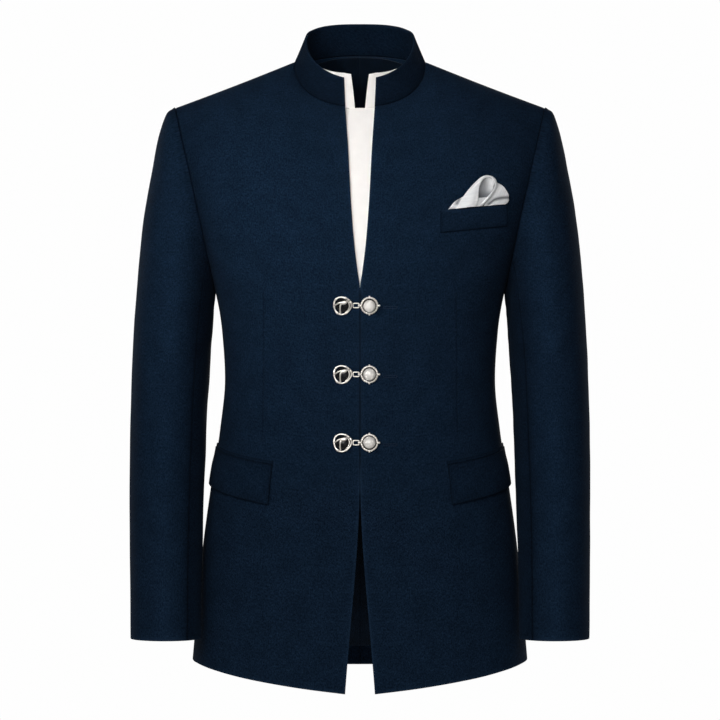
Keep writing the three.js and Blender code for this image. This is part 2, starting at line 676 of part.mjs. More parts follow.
// A ring of a wire along a closed curve, given its distance from the middle and its height at each angle
function wireRing(radius, height, wire, count, sides) {
  const angles = range(count).map((i) => (2 * Math.PI * i) / count);
  const place = (a) => new THREE.Vector3(radius(a) * Math.cos(a), radius(a) * Math.sin(a), height(a));
  const points = angles.map(place);
  return wireLoop(points, wire, sides);
}
const bead = (x, y, z, radius) => new THREE.OctahedronGeometry(radius, 1).translate(x, y, z);

// The openwork cage: an uneven ring, a band that climbs over the dome and one that runs down from it
const { radius: cageRadius, wobble, wire: cageWire, height: cageHeight } = CAGE;
const cageRing = wireRing(
  (a) => cageRadius + wobble * Math.sin(3 * a + 1),
  () => cageHeight,
  cageWire,
  14,
  5,
);
const over = DOME.height + SEAM + cageWire;
const along = (rows) => rows.map(([x, y, z]) => new THREE.Vector3(x, y, z));
const climb = [
  [-cageRadius, -1, cageHeight],
  [-6, 2.6, over - 0.6],
  [1.5, 3.4, over + 0.4],
  [9.3, 4, cageHeight],
];
const climbing = wireBar(along(climb), cageWire, 4, 6);
const fall = [[1.5, 3.4, over + 0.2], [2.4, -3, over], [1.4, -cageRadius, cageHeight]];
const falling = wireBar(along(fall), cageWire, 4, 4);
const cageSolid = joined([cageRing, climbing, falling, bead(3, 3.6, over + 0.7, 2.2)]);

const domeProfile = [[0, 0], [1, 0], [1, 0.35], [0.8, 0.72], [0.45, 0.95], [0, 1]];
const domeSolid = turned(domeProfile.map(([r, h]) => [r * DOME.radius, h * DOME.height]), 12);

// The bezel: a shallow cup with a rim and four knobs that hold the pearl.
// The knob over the link stands higher.
const rim = wireRing(() => BEZEL.radius, () => BEZEL.height, BEZEL.wire, 16, 5);
const cup = turned([[0, 0], [BEZEL.radius, 0], [BEZEL.radius, BEZEL.floor + 0.6], [0, BEZEL.floor]], 16);
const knobs = range(4).map((i) => {
  const angle = (i * Math.PI) / 2;
  const height = BEZEL.height + (i === 2 ? BEZEL.eyeRise : 0.3);
  return bead(BEZEL.knobAt * Math.cos(angle), BEZEL.knobAt * Math.sin(angle), height, BEZEL.knob);
});
const bezelSolid = joined([rim, cup, ...knobs]);

const pearlProfile = range(7).map((i) => {
  const angle = (i * Math.PI) / 6;
  return [PEARL_SIZE.radius * Math.sin(angle), -PEARL_SIZE.height * Math.cos(angle)];
});
const pearlBase = BEZEL.floor + 0.9 + PEARL_SIZE.height;
const pearlSolid = turned(pearlProfile, 12).translate(0, 0, pearlBase);

// The link: a flat ring whose ends lie under the cage's ring and the bezel's rim
const linkMiddle = (LINK.from + LINK.to) / 2;
const linkHalf = (LINK.to - LINK.from) / 2;
const linkCorners = [[1, -0.5], [1, 0.5], [0.7, 1], [-0.7, 1], [-1, 0.5], [-1, -0.5], [-0.7, -1], [0.7, -1]];
const linkPath = linkCorners.map(([x, y]) => new THREE.Vector3(linkMiddle + x * linkHalf, y * LINK.half, 0));
const linkSolid = wireLoop(linkPath, LINK.wire, 5);

// Puts a clasp part on the fronts with its middle at a distance x, its z axis along the cloth's normal
function onFront(geometry, x, z, lift) {
  const { u, v } = frontPlace(Math.abs(x), z);
  const normal = shellNormal(FRONT, u, v);
  const point = shell(FRONT, u, v);
  if (x < 0) for (const vector of [normal, point]) vector.setX(-vector.x);
  const across = new THREE.Vector3(1, 0, 0).addScaledVector(normal, -normal.x).normalize();
  const up = normal.clone().cross(across);
  const middle = point.addScaledVector(normal, lift);
  const frame = new THREE.Matrix4().makeBasis(across, up, normal).setPosition(middle);
  return geometry.clone().applyMatrix4(frame);
}
CLASP_HEIGHTS.forEach((z, i) => {
  const name = `clasp_${CLASP_NAMES[i]}`;
  add(`${name}_cage`, onFront(cageSolid, CAGE.x, z, CLASP_LIFT), SILVER);
  add(`${name}_dome`, onFront(domeSolid, CAGE.x, z, CLASP_LIFT), ONYX);
  add(`${name}_bezel`, onFront(bezelSolid, BEZEL.x, z, CLASP_LIFT), SILVER);
  add(`${name}_pearl`, onFront(pearlSolid, BEZEL.x, z, CLASP_LIFT), PEARL);
  add(`${name}_link`, onFront(linkSolid, 0, z, CLASP_LIFT + LINK.wire), SILVER);
});

export default jacket;
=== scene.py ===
import math
import bpy
import numpy as np
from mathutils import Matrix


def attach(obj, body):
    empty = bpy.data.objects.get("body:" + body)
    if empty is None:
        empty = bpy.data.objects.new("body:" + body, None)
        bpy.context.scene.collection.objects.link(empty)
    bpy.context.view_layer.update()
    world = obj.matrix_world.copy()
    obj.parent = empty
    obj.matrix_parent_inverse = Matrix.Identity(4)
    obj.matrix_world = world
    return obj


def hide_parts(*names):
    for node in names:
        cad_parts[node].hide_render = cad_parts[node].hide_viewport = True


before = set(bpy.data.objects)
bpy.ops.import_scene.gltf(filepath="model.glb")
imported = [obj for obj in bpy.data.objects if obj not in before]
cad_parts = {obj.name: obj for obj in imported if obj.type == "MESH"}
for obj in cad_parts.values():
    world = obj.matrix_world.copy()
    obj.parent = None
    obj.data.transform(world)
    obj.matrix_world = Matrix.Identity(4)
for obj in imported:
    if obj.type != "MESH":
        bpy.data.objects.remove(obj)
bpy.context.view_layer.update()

print("frame loaded:", len(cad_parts), "nodes")

# Sizes are in millimetres until makeMesh turns them to metres.
# +X is the wearer's left, -Y the front, +Z up; the origin is the middle of the neck.
mm = 0.001


def lerp(a, b, t):
    return a + (b - a) * t


def clamp(t):
    return np.clip(t, 0.0, 1.0)


def ease(t):  # smooth from 0 to 1, flat at both ends
    return clamp(t) ** 2 * (3 - 2 * clamp(t))


def bell(t):  # 1 at 0, fading to both sides
    return np.exp(-t * t)


def unit(vectors):
    return vectors / np.maximum(np.linalg.norm(vectors, axis=-1, keepdims=True), 1e-12)


def points(x, y, z):
    return np.stack(np.broadcast_arrays(x, y, z), axis=-1).astype(float)


def turns(count):  # equal steps once round
    return 2 * np.pi * np.arange(count) / count


def squaredLoop(turn, power):  # x and y round a square with rounded corners, 1 from the middle to each side
    reach = (np.abs(np.cos(turn)) ** power + np.abs(np.sin(turn)) ** power) ** (1 / power)
    return np.cos(turn) / reach, np.sin(turn) / reach


# A smooth curve through a table's rows that never overshoots them: between two rows a cubic,
# whose end slopes are the harmonic means of the slopes beside each row.
def curveThrough(places, heights):
    order = np.argsort(places)
    k, c = np.asarray(places, float)[order], np.asarray(heights, float)[order]
    slope = np.diff(c) / np.diff(k)
    tangent = np.concatenate([slope[:1], np.zeros(len(k) - 2), slope[-1:]])
    before, after = slope[:-1], slope[1:]
    same = before * after > 0
    tangent[1:-1][same] = 2 * before[same] * after[same] / (before[same] + after[same])

    def curve(at):
        j = np.clip(np.searchsorted(k, at, side="right") - 1, 0, len(k) - 2)
        wide = k[j + 1] - k[j]
        t = clamp((at - k[j]) / wide)
        rise = t * t * (3 - 2 * t)
        bend = tangent[j] * t * (1 - t) ** 2 - tangent[j + 1] * t * t * (1 - t)
        return c[j] * (1 - rise) + c[j + 1] * rise + wide * bend

    return curve


# Soft unevenness: a sum of sine waves that run in seeded directions, about 1 high at most
def drift(a, b, wave, seed):
    chance = np.random.default_rng(seed)
    total = np.zeros(np.broadcast(a, b).shape)
    for share in (1.0, 0.73, 0.55, 0.41, 0.3):
        turn, phase = chance.uniform(0, 2 * np.pi, 2)
        size = wave * share * chance.uniform(0.8, 1.25)
        total = total + share * np.sin(2 * np.pi * (a * np.cos(turn) + b * np.sin(turn)) / size + phase)
    return total / 2.2


# The body's form
cut = {
    "neckHalf": 78.4,
    "neckRound": 2.3,
    "shoulderTip": (221.2, 4.0, -55.0),
    "shoulderSag": 0.8,
    "armpit": -277.0,
    "seam": -0.06,  # the pieces meet, so that no light comes through a seam
    "sleeveGap": -0.1,
    "cloth": 2.5,
    "cornerReach": 0.2,  # the neck point is rounded over this share of the width and blends in this far down
    "cornerFade": 0.22,
    "chestFall": 1.8,  # how early the chest reaches its full depth, and how softly at the middle and the side
    "middleSoft": 1.05,
    "sideSoft": 1.75,
    "neckFall": 0.92,
}
bodyLevels = {
    "z": [-760, -705, -586, -514, -442, -380, -322, -277, -235, -200, -150, -100, 15],
    "half": [204.5, 199.8, 189, 179.5, 168, 162, 165.6, 173.2, 188, 202, 226, 250, 285],
    "front": [-121, -121, -119, -115, -111, -110, -115, -121, -123, -123, -123, -123, -123],
    "side": [2, 2, 2, 2, 2, 2, 2, 2, 2, 2, 3, 4, 4],
    "back": [124, 123, 117, 107, 93, 88, 98, 109, 114, 117, 117, 117, 117],
}
frontEdges = {
    "z": [-760, -487, -276, -252, -229, -205, -158, -111, -57],
    "half": [18.2, cut["seam"] / 2, cut["seam"] / 2, 3, 5.9, 8.2, 11.4, 13.8, 17.5],
}
frontHem = {"u": [0, 0.15, 0.41, 0.65, 0.85, 1], "z": [-749.3, -744.2, -734, -724.3, -718, -716]}
bodyHalf = curveThrough(bodyLevels["z"], bodyLevels["half"])
bodySide = curveThrough(bodyLevels["z"], bodyLevels["side"])
frontEdge = curveThrough(frontEdges["z"], frontEdges["half"])
front = {
    "sign": -1,
    "depth": curveThrough(bodyLevels["z"], bodyLevels["front"]),
    "round": 2.35,
    "full": -235.0,
    "hem": curveThrough(frontHem["u"], frontHem["z"]),
    "scoop": 2.0,
    "edge": frontEdge,
    "neck": (-60.0, -57.0),
    "neckPower": 2 / cut["neckRound"],
    "neckStart": 10.27,
    "neckShare": 7 / 14,
}
back = {
    "sign": 1,
    "depth": curveThrough(bodyLevels["z"], bodyLevels["back"]),
    "round": 2.5,
    "full": -190.0,
    "hem": lambda u: lerp(-731.5, -716.0, u * u),
    "scoop": -5.0,
    "edge": lambda z: cut["seam"] / 2 + 0 * z,
    "neck": (62.0, 12.0),
    "neckPower": 2.0,
    "neckStart": 0.1,
    "neckShare": 7 / 12,
}


# The neckline by its angle, 0 in the middle and 90 degrees at the shoulder: powers of sine and cosine
def neckline(face, angle):
    out = np.clip(np.sin(angle), 0, None) ** (2 / cut["neckRound"])
    along = np.clip(np.cos(angle), 0, None)
    y, z = face["neck"]
    return points(cut["neckHalf"] * out, y * along ** cut["neckFall"], z * along ** face["neckPower"])


# A panel's upper edge: the neckline over its share of the width, then the sagging shoulder seam
def topEdge(face, u):
    share = face["neckShare"]
    neck = neckline(face, np.radians(lerp(face["neckStart"], 90, np.minimum(u / share, 1))))
    t = clamp((u - share) / (1 - share))
    tip = cut["shoulderTip"]
    sag = cut["shoulderSag"] * np.sin(np.pi * t)
    shoulder = points(lerp(cut["neckHalf"], tip[0], t), tip[1] * t, tip[2] * t - sag)
    return np.where((u <= share)[..., None], neck, shoulder)


# The same edge with the corner at the neck point rounded off, as a mean of its neighbours
def roundedTop(face, u):
    reach = np.clip(np.minimum(u, 1 - u), 0, cut["cornerReach"])
    steps = (-1, -0.72, -0.45, -0.22, 0, 0.22, 0.45, 0.72, 1)
    return sum(topEdge(face, u + step * reach) for step in steps) / len(steps)


def armhole(face, rise):
    return lerp(bodyHalf(cut["armpit"]), cut["shoulderTip"][0], rise) - face["scoop"] * np.sin(np.pi * rise)


# The body's outer surface on the wearer's left. u runs from the middle (0) to the side (1),
# v from the hem (0) to the armpit (1) and the top (2). A level section is part of a superellipse;
# above its fullest level it draws in to the neckline and the shoulder.
def shell(face, u, v):
    u, v = [a.astype(float) for a in np.broadcast_arrays(u, v)]
    low = cut["armpit"]
    s = np.sin(u * np.pi / 2)
    top = roundedTop(face, u)
    corner = topEdge(face, u) - top
    middle = topEdge(face, np.zeros(1))[0]
    zLow = lerp(face["hem"](np.clip(u, 0, 1)), low, np.minimum(v, 1))
    xLow = lerp(face["edge"](zLow), bodyHalf(zLow), s)
    k = (1 - np.cos(np.pi * np.clip(v - 1, 0, 1))) / 2
    edgeLow, halfLow = face["edge"](np.full(1, low)), bodyHalf(low)
    zHigh = lerp(low, top[..., 2], k)
    xHigh = lerp(lerp(edgeLow, halfLow, s), top[..., 0], k)
    xHigh = xHigh + (1 - s) * (face["edge"](lerp(low, middle[2], k)) - lerp(edgeLow, middle[0], k))
    xHigh = xHigh + s * (armhole(face, k) - lerp(halfLow, cut["shoulderTip"][0], k))
    x, z = np.where(v <= 1, xLow, xHigh), np.where(v <= 1, zLow, zHigh)
    across = clamp(x / bodyHalf(z)) ** face["round"]
    section = lerp(bodySide(z), face["depth"](z), (1 - across) ** (1 / face["round"]))
    down = clamp((top[..., 2] - z) / (top[..., 2] - face["full"]))
    soft = lerp(cut["middleSoft"], cut["sideSoft"], ease((u - 0.1) / 0.75))
    fullness = (1 - (1 - down) ** cut["chestFall"]) ** (1 / soft)
    y = lerp(top[..., 1], section, fullness) + face["sign"] * cut["seam"] / 2
    return points(x, y, z) + corner * ((1 - clamp(down / cut["cornerFade"])) ** 2)[..., None]


# The unit normal of a surface of two parameters: the cross product of two small steps
def normalOf(surface, a, b, sign, aRange=(0, 1), bRange=(0, 1)):
    step = 1e-3
    across = surface(np.minimum(a + step, aRange[1]), b) - surface(np.maximum(a - step, aRange[0]), b)
    along = surface(a, np.minimum(b + step, bRange[1])) - surface(a, np.maximum(b - step, bRange[0]))
    return unit(np.cross(across, along)) * sign


tuck = -0.045  # how far past the middle line the front's surface can be read


def shellNormal(face, u, v):
    u, v = [a.astype(float) for a in np.broadcast_arrays(u, v)]
    return normalOf(lambda a, b: shell(face, a, b), u, v, -face["sign"], (tuck, 1), (0, 2))


# Where the front has a given distance from the middle and height: both shares follow their slopes there
def frontPlace(x, z):
    x, z = [a.astype(float) for a in np.broadcast_arrays(x, z)]
    u, v = np.full(x.shape, 0.4), np.clip(1 + (z - cut["armpit"]) / 460, 0.02, 1.9)  # a first guess
    step = 1e-4
    for _ in range(30):
        here = shell(front, u, v)
        du, dv = (shell(front, u + step, v) - here) / step, (shell(front, u, v + step) - here) / step
        ex, ez = x - here[..., 0], z - here[..., 2]
        det = du[..., 0] * dv[..., 2] - dv[..., 0] * du[..., 2]
        det = np.where(np.abs(det) < 1e-6, 1e-6, det)
        u = np.clip(u + np.clip((ex * dv[..., 2] - ez * dv[..., 0]) / det, -0.15, 0.15), tuck, 0.999)
        v = np.clip(v + np.clip((ez * du[..., 0] - ex * du[..., 2]) / det, -0.15, 0.15), 0, 1.999)
    return u, v


def flipped(isRight):  # a factor that mirrors places to the wearer's right
    return np.where(isRight, -1.0, 1.0)[..., None] * [1, 0, 0] + [0, 1, 1]


def overFront(x, z, out):
    u, v = frontPlace(np.abs(x), z)
    place, normal = shell(front, u, v), shellNormal(front, u, v)
    return (place + normal * np.asarray(out)[..., None]) * flipped(np.asarray(x) < 0)


# Meshes
# Grid lines that crowd at both ends, where an edge turns over: places from 0 to 1,
# with the crowding given in millimetres and the length that they stand for
def gridLines(count, length, low=(0.12, 0.35, 0.7, 1.2, 2.2), high=(0.12, 0.35, 0.7, 1.2, 2.2)):
    inner = np.linspace(0, 1, count)[1:-1]
    first, last = np.array([0.0, *low]) / length, 1 - np.array([*high[::-1], 0.0]) / length
    inner = inner[(inner > first[-1] * 1.3) & (inner < 1 - (1 - last[0]) * 1.3)]
    return np.concatenate([first, inner, last])


def shareGrid(across, along):  # for each way how many lines, over how many millimetres, and the crowding
    return np.meshgrid(gridLines(*across), gridLines(*along))


def gridNormals(grid, sign):
    return unit(np.cross(np.gradient(grid, axis=1), np.gradient(grid, axis=0))) * sign


# Distance of every grid point from the first and last column and row, along the cloth
def edgeDistances(grid):
    across = np.linalg.norm(np.diff(grid, axis=1), axis=-1)
    along = np.linalg.norm(np.diff(grid, axis=0), axis=-1)
    left = np.pad(np.cumsum(across, axis=1), ((0, 0), (1, 0)))
    low = np.pad(np.cumsum(along, axis=0), ((1, 0), (0, 0)))
    return left, left[:, -1:] - left, low, low[-1:] - low


def makeMesh(name, vertices, faces, uv=None, attributes=None, materialOf=None):
    mesh = bpy.data.meshes.new(name)
    mesh.from_pydata((vertices * mm).tolist(), [], faces)
    mesh.polygons.foreach_set("use_smooth", np.ones(len(mesh.polygons), bool))
    loops = np.empty(len(mesh.loops), np.int32)
    mesh.loops.foreach_get("vertex_index", loops)
    if uv is not None:  # one metre of cloth is one unit
        layer = mesh.uv_layers.new(name="clothMap")
        layer.data.foreach_set("uv", (uv * mm)[loops].ravel().astype(np.float32))
    for label, values in (attributes or {}).items():
        layer = mesh.attributes.new(label, "FLOAT", "POINT")
        layer.data.foreach_set("value", np.asarray(values, np.float32).ravel())
    if materialOf is not None:
        mesh.polygons.foreach_set("material_index", np.asarray(materialOf, np.int32))
    made = bpy.data.objects.new(name, mesh)
    bpy.context.scene.collection.objects.link(made)
    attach(made, "root")
    return made


def wallFaces(rows, columns):
    at = np.arange(rows * columns).reshape(rows, columns)
    under = at + rows * columns
    corners = [
        (at[:-1, :-1], at[:-1, 1:], at[1:, 1:], at[1:, :-1]),
        (under[:-1, :-1], under[1:, :-1], under[1:, 1:], under[:-1, 1:]),
        (at[0, 1:], at[0, :-1], under[0, :-1], under[0, 1:]),
        (at[-1, :-1], at[-1, 1:], under[-1, 1:], under[-1, :-1]),
        (at[:-1, 0], at[1:, 0], under[1:, 0], under[:-1, 0]),
        (at[1:, -1], at[:-1, -1], under[:-1, -1], under[1:, -1]),
    ]
    return np.concatenate([np.stack(four, axis=-1).reshape(-1, 4) for four in corners])


paintedEdgeLook = {
    "paintedLight": 1.6,  # how far an edge's painted highlight reaches, for each millimetre of its roll
    "line": (0.7, 1.5),  # a seam's painted dark line and the painted shade beside it: how dark, and how wide in mm
    "halo": (0.35, 8.0),
}


# A cloth wall: the grid is its outer face, and both faces draw in to the middle of the wall at each edge,
# as a quarter of an ellipse. The rolls are for the left, right, low and high edge. A seam gets painted shade,
# and any other edge a painted highlight.
def wallOf(grid, sign, thickness, rolls, liningOf, shade, tone, cloth):
    rows, columns = grid.shape[:2]
    normal = gridNormals(grid, sign)
    left, right, low, high = edgeDistances(grid)
    full, edge = np.ones((rows, columns)), np.zeros((rows, columns))
    dark = np.zeros((rows, columns)) if shade is None else shade
    (line, lineWide), (halo, haloWide) = paintedEdgeLook["line"], paintedEdgeLook["halo"]
    for distance, (reach, depth, seam) in zip((left, right, low, high), rolls):
        turn = np.sqrt(np.clip(1 - (1 - clamp(distance / reach)) ** 2, 0, 1))
        full = np.minimum(full, 1 - depth * (1 - turn))
        edge = np.maximum(edge, (seam == 0) * bell(distance / (paintedEdgeLook["paintedLight"] * reach)))
        paintedSeamShade = line * bell(distance / lineWide) + halo * bell(distance / haloWide)
        dark = np.maximum(dark, seam * paintedSeamShade)
    draw = (thickness / 2) * (1 - full)[..., None]
    outer, inner = grid - normal * draw, grid - normal * (thickness - draw)
    faces = wallFaces(rows, columns)
    isInner = np.zeros(len(faces), int)
    cells = (rows - 1) * (columns - 1)
    if liningOf is not None:
        isInner[cells : 2 * cells] = liningOf[:-1, :-1].ravel()
    vertices = np.concatenate([outer.reshape(-1, 3), inner.reshape(-1, 3)])
    # the wall's faces point outwards if the outer grid's own faces do
    a, b, c = [vertices[faces[cells // 2, i]] for i in (0, 1, 3)]
    if np.dot(np.cross(b - a, c - a), normal[rows // 2, columns // 2]) < 0:
        faces = faces[:, ::-1]
    middle = (outer + inner) / 2
    across, along = np.diff(middle, axis=1), np.diff(middle, axis=0)
    return {
        "vertices": vertices,
        "faces": faces,
        "isInner": isInner,
        "uv": np.tile((np.stack([left, low], axis=-1) if cloth is None else cloth).reshape(-1, 2), (2, 1)),
        "paintedEdgeGlint": np.tile(edge.ravel(), 2),
        "seamShade": np.tile(dark.ravel(), 2),
        "tone": np.tile(np.broadcast_to(tone, (rows, columns)).ravel(), 2),
        "size": (left[:, -1].max(), low[-1].max()),
        "area": np.linalg.norm(np.cross(across[:-1], along[:, :-1]), axis=-1).sum(),
    }


# One piece of cloth of one wall or of several that belong together, such as the folds of a square
def clothWall(
    name, grids, signs, thickness, rolls, liningOf=None, mirror=False, shade=None, tones=1.0, cloth=None
):
    if isinstance(grids, np.ndarray):
        grids, signs, tones = [grids], [signs], [tones]
    walls = []
    for grid, sign, tone in zip(grids, signs, tones):
        walls.append(wallOf(grid, sign, thickness, rolls, liningOf, shade, tone, cloth))
    starts = np.cumsum([0] + [len(wall["vertices"]) for wall in walls])
    faces = np.concatenate([wall["faces"] + start for wall, start in zip(walls, starts)])
    joined = {
        key: np.concatenate([wall[key] for wall in walls])
        for key in ("vertices", "uv", "isInner", "paintedEdgeGlint", "seamShade", "tone")
    }
    vertices, uv, isInner = [joined.pop(key) for key in ("vertices", "uv", "isInner")]
    if mirror:
        vertices, faces = vertices * [-1, 1, 1], faces[:, ::-1]
    made = makeMesh(name, vertices, faces.tolist(), uv, joined, isInner)
    made["flatWidth"] = float(max(wall["size"][0] for wall in walls) * mm)
    made["flatLength"] = float(sum(wall["size"][1] for wall in walls) * mm)
    made["flatArea"] = float(sum(wall["area"] for wall in walls) * mm * mm)
    return made


def finishPiece(piece, slotName, nodes, materials):
    for material in materials:
        piece.data.materials.append(material)
    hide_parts(*nodes)
    for key in ("flatWidth", "flatLength", "flatArea"):
        if key in piece:
            del piece[key]


# Per edge: how far in the cloth turns, by what share of half its thickness, and how dark its painted seam
# shade is
seamRoll = (0.9, 0.55, 0.3)
deepSeam = (1.6, 0.9, 0.6)
freeRoll = (1.4, 0.9, 0.0)
thinRoll = (1.0, 0.8, 0.0)
turnedRoll = (1.5, 0.9, 0.45)

# Materials
def linear(hexColour):  # sRGB hex to linear RGBA
    s = np.array([int(hexColour[i : i + 2], 16) for i in (1, 3, 5)]) / 255
    return (*np.where(s <= 0.04045, s / 12.92, ((s + 0.055) / 1.055) ** 2.4).tolist(), 1.0)


# Adds a node. Keywords are its own settings; a socket's value is a number, a colour or (node, its output).
# A colour Mix has its colours at sockets 6 and 7 and its result at output 2.
def addNode(material, kind, sockets=None, **settings):
    tree = material.node_tree
    node = tree.nodes.new("ShaderNode" + kind)
    for name, value in settings.items():
        setattr(node, name, value)
    joinSockets(material, node, sockets or {})
    return node


def joinSockets(material, node, sockets):
    for name, value in sockets.items():
        if isinstance(value, tuple) and isinstance(value[0], bpy.types.Node):
            material.node_tree.links.new(value[0].outputs[value[1]], node.inputs[name])
        else:
            node.inputs[name].default_value = value


def newMaterial(name, sockets):
    material = bpy.data.materials.new(name)
    material.use_nodes = True
    shader = material.node_tree.nodes["Principled BSDF"]
    joinSockets(material, shader, sockets)
    return material, shader


# Suiting wool, woven of mixed navy yarn and lightly napped: matt and mottled, with a painted highlight along
# its free edges and painted shade at its seams
woolLook = {
    "dark": "#050f1a",
    "middle": "#0f1e2e",
    "pale": "#1b2d42",
    # the colour of the painted highlight along free edges
    "edge": "#203349",
    "yarn": 1.7,  # mm, drawn several times as coarse as the real yarn so that it shows
    "mottle": 4.5,  # mm, clouds in the nap
    "cloud": 26.0,
}


def makeWool(name, look):
    material, shader = newMaterial(name, {
        "Roughness": 0.94,
        "Specular IOR Level": 0.03,
        "IOR": 1.5,
        "Sheen Weight": 0.02,
        "Sheen Roughness": 0.55,
        "Sheen Tint": linear("#7f93ad"),
    })
    place = addNode(material, "UVMap", uv_map="clothMap")
    grain = addNode(material, "Mapping", {"Vector": (place, "UV"), "Scale": (1.0, 0.75, 1.0)})
    sockets = {"Vector": (grain, "Vector"), "Scale": 1000 / look["yarn"], "Detail": 2.0, "Roughness": 0.6}
    yarn = addNode(material, "TexNoise", sockets)
    sockets = {"Vector": (place, "UV"), "Scale": 1000 / look["mottle"], "Detail": 3.0, "Roughness": 0.55}
    mottle = addNode(material, "TexNoise", sockets)
    sockets = {"Vector": (place, "UV"), "Scale": 1000 / look["cloud"], "Detail": 2.0}
    cloud = addNode(material, "TexNoise", sockets)
    spread = {"From Min": 0.3, "From Max": 0.7}
    fine = addNode(material, "MapRange", {"Value": (yarn, "Fac")} | spread)
    soft = addNode(material, "MapRange", {"Value": (mottle, "Fac")} | spread)
    sockets = {0: (fine, "Result"), 6: linear(look["dark"]), 7: linear(look["pale"])}
    base = addNode(material, "Mix", sockets, data_type="RGBA")
    calm = addNode(material, "Mix", {0: 0.72, 6: linear(look["middle"]), 7: (base, 2)}, data_type="RGBA")
    sockets = {0: (soft, "Result"), 6: linear("#cdd4dc"), 7: linear("#ffffff")}
    patch = addNode(material, "Mix", sockets, data_type="RGBA")
    sockets = {0: 1.0, 6: (calm, 2), 7: (patch, 2)}
    tinted = addNode(material, "Mix", sockets, data_type="RGBA", blend_type="MULTIPLY")
    wide = addNode(material, "MapRange", {"Value": (cloud, "Fac"), "To Min": 0.87, "To Max": 1.13} | spread)
    paintedLight = addNode(material, "Attribute", attribute_name="tone")  # painted light and shade; on the collar partly its nap running another way
    # painted highlight along free edges
    glintAt = addNode(material, "Attribute", attribute_name="paintedEdgeGlint")
    paintedSeamShade = addNode(material, "Attribute", attribute_name="seamShade")
    glintShare = addNode(material, "Math", {0: (glintAt, "Fac"), 1: 0.35}, operation="MULTIPLY")
    sockets = {0: (glintShare, "Value"), 6: (tinted, 2), 7: linear(look["edge"])}
    glinted = addNode(material, "Mix", sockets, data_type="RGBA")
    clear = addNode(material, "Math", {0: 1.0, 1: (paintedSeamShade, "Fac")}, operation="SUBTRACT")
    lit = addNode(material, "Math", {0: (wide, "Result"), 1: (paintedLight, "Fac")}, operation="MULTIPLY")
    shade = addNode(material, "Math", {0: (lit, "Value"), 1: (clear, "Value")}, operation="MULTIPLY")
    final = addNode(material, "VectorMath", {0: (glinted, 2), "Scale": (shade, "Value")}, operation="SCALE")
    height = addNode(material, "Math", {0: (yarn, "Fac"), 1: (mottle, "Fac")}, operation="ADD")
    bump = addNode(material, "Bump", {"Height": (height, "Value"), "Strength": 0.25, "Distance": 0.0006})
    joinSockets(material, shader, {"Base Color": (final, "Vector"), "Normal": (bump, "Normal")})
    return material


# Poplin, plain-woven white cotton: matt with a faint thread grid
def makeCotton(name):
    facts = {"Roughness": 0.85, "Specular IOR Level": 0.25, "IOR": 1.5, "Sheen Weight": 0.05}
    material, shader = newMaterial(name, facts)
    place = addNode(material, "UVMap", uv_map="clothMap")
    thread = 1.1  # mm
    sockets = {"Vector": (place, "UV"), "Scale": 1000 / thread / 6.283, "Distortion": 0.3}
    warp = addNode(material, "TexWave", sockets, bands_direction="X")
    weft = addNode(material, "TexWave", sockets, bands_direction="Y")
    threads = addNode(material, "Math", {0: (warp, "Fac"), 1: (weft, "Fac")}, operation="ADD")
    slub = addNode(material, "TexNoise", {"Vector": (place, "UV"), "Scale": 90.0, "Detail": 3.0})
    sockets = {0: (slub, "Fac"), 6: linear("#eeeae6"), 7: linear("#f7f3ef")}
    colour = addNode(material, "Mix", sockets, data_type="RGBA")
    bump = addNode(material, "Bump", {"Height": (threads, "Value"), "Strength": 0.15, "Distance": 0.0002})
    joinSockets(material, shader, {"Base Color": (colour, 2), "Normal": (bump, "Normal")})
    return material


# Satin: long floats of smooth yarn, so a soft gloss and fine lines along the warp
# deep is the colour of the painted shade in the deepest folds
def makeSatin(name, deep, dark, pale, rough, level, line=0.8):
    facts = {"Roughness": rough, "Specular IOR Level": level, "IOR": 1.5}
    material, shader = newMaterial(name, facts | {"Sheen Weight": 0.1, "Sheen Roughness": 0.4})
    place = addNode(material, "UVMap", uv_map="clothMap")
    along = addNode(material, "Mapping", {"Vector": (place, "UV"), "Scale": (1.0, 0.06, 1.0)})
    sockets = {"Vector": (along, "Vector"), "Scale": 1000 / line, "Detail": 2.0}
    floats = addNode(material, "TexNoise", sockets)
    wide = addNode(material, "TexNoise", {"Vector": (place, "UV"), "Scale": 40.0, "Detail": 2.0})
    both = addNode(material, "Math", {0: (floats, "Fac"), 1: (wide, "Fac")}, operation="MULTIPLY")
    stretch = addNode(material, "MapRange", {"Value": (both, "Value"), "From Min": 0.12, "From Max": 0.4})
    sockets = {0: (stretch, "Result"), 6: linear(dark), 7: linear(pale)}
    colour = addNode(material, "Mix", sockets, data_type="RGBA")
    bump = addNode(material, "Bump", {"Height": (floats, "Fac"), "Strength": 0.12, "Distance": 0.0002})
    depth = addNode(material, "Attribute", attribute_name="tone")  # painted shade: deeper folds are darker and bluer
    sockets = {0: (depth, "Fac"), 6: linear(deep), 7: (colour, 2)}
    shaded = addNode(material, "Mix", sockets, data_type="RGBA")
    joinSockets(material, shader, {"Base Color": (shaded, 2), "Normal": (bump, "Normal")})
    return material


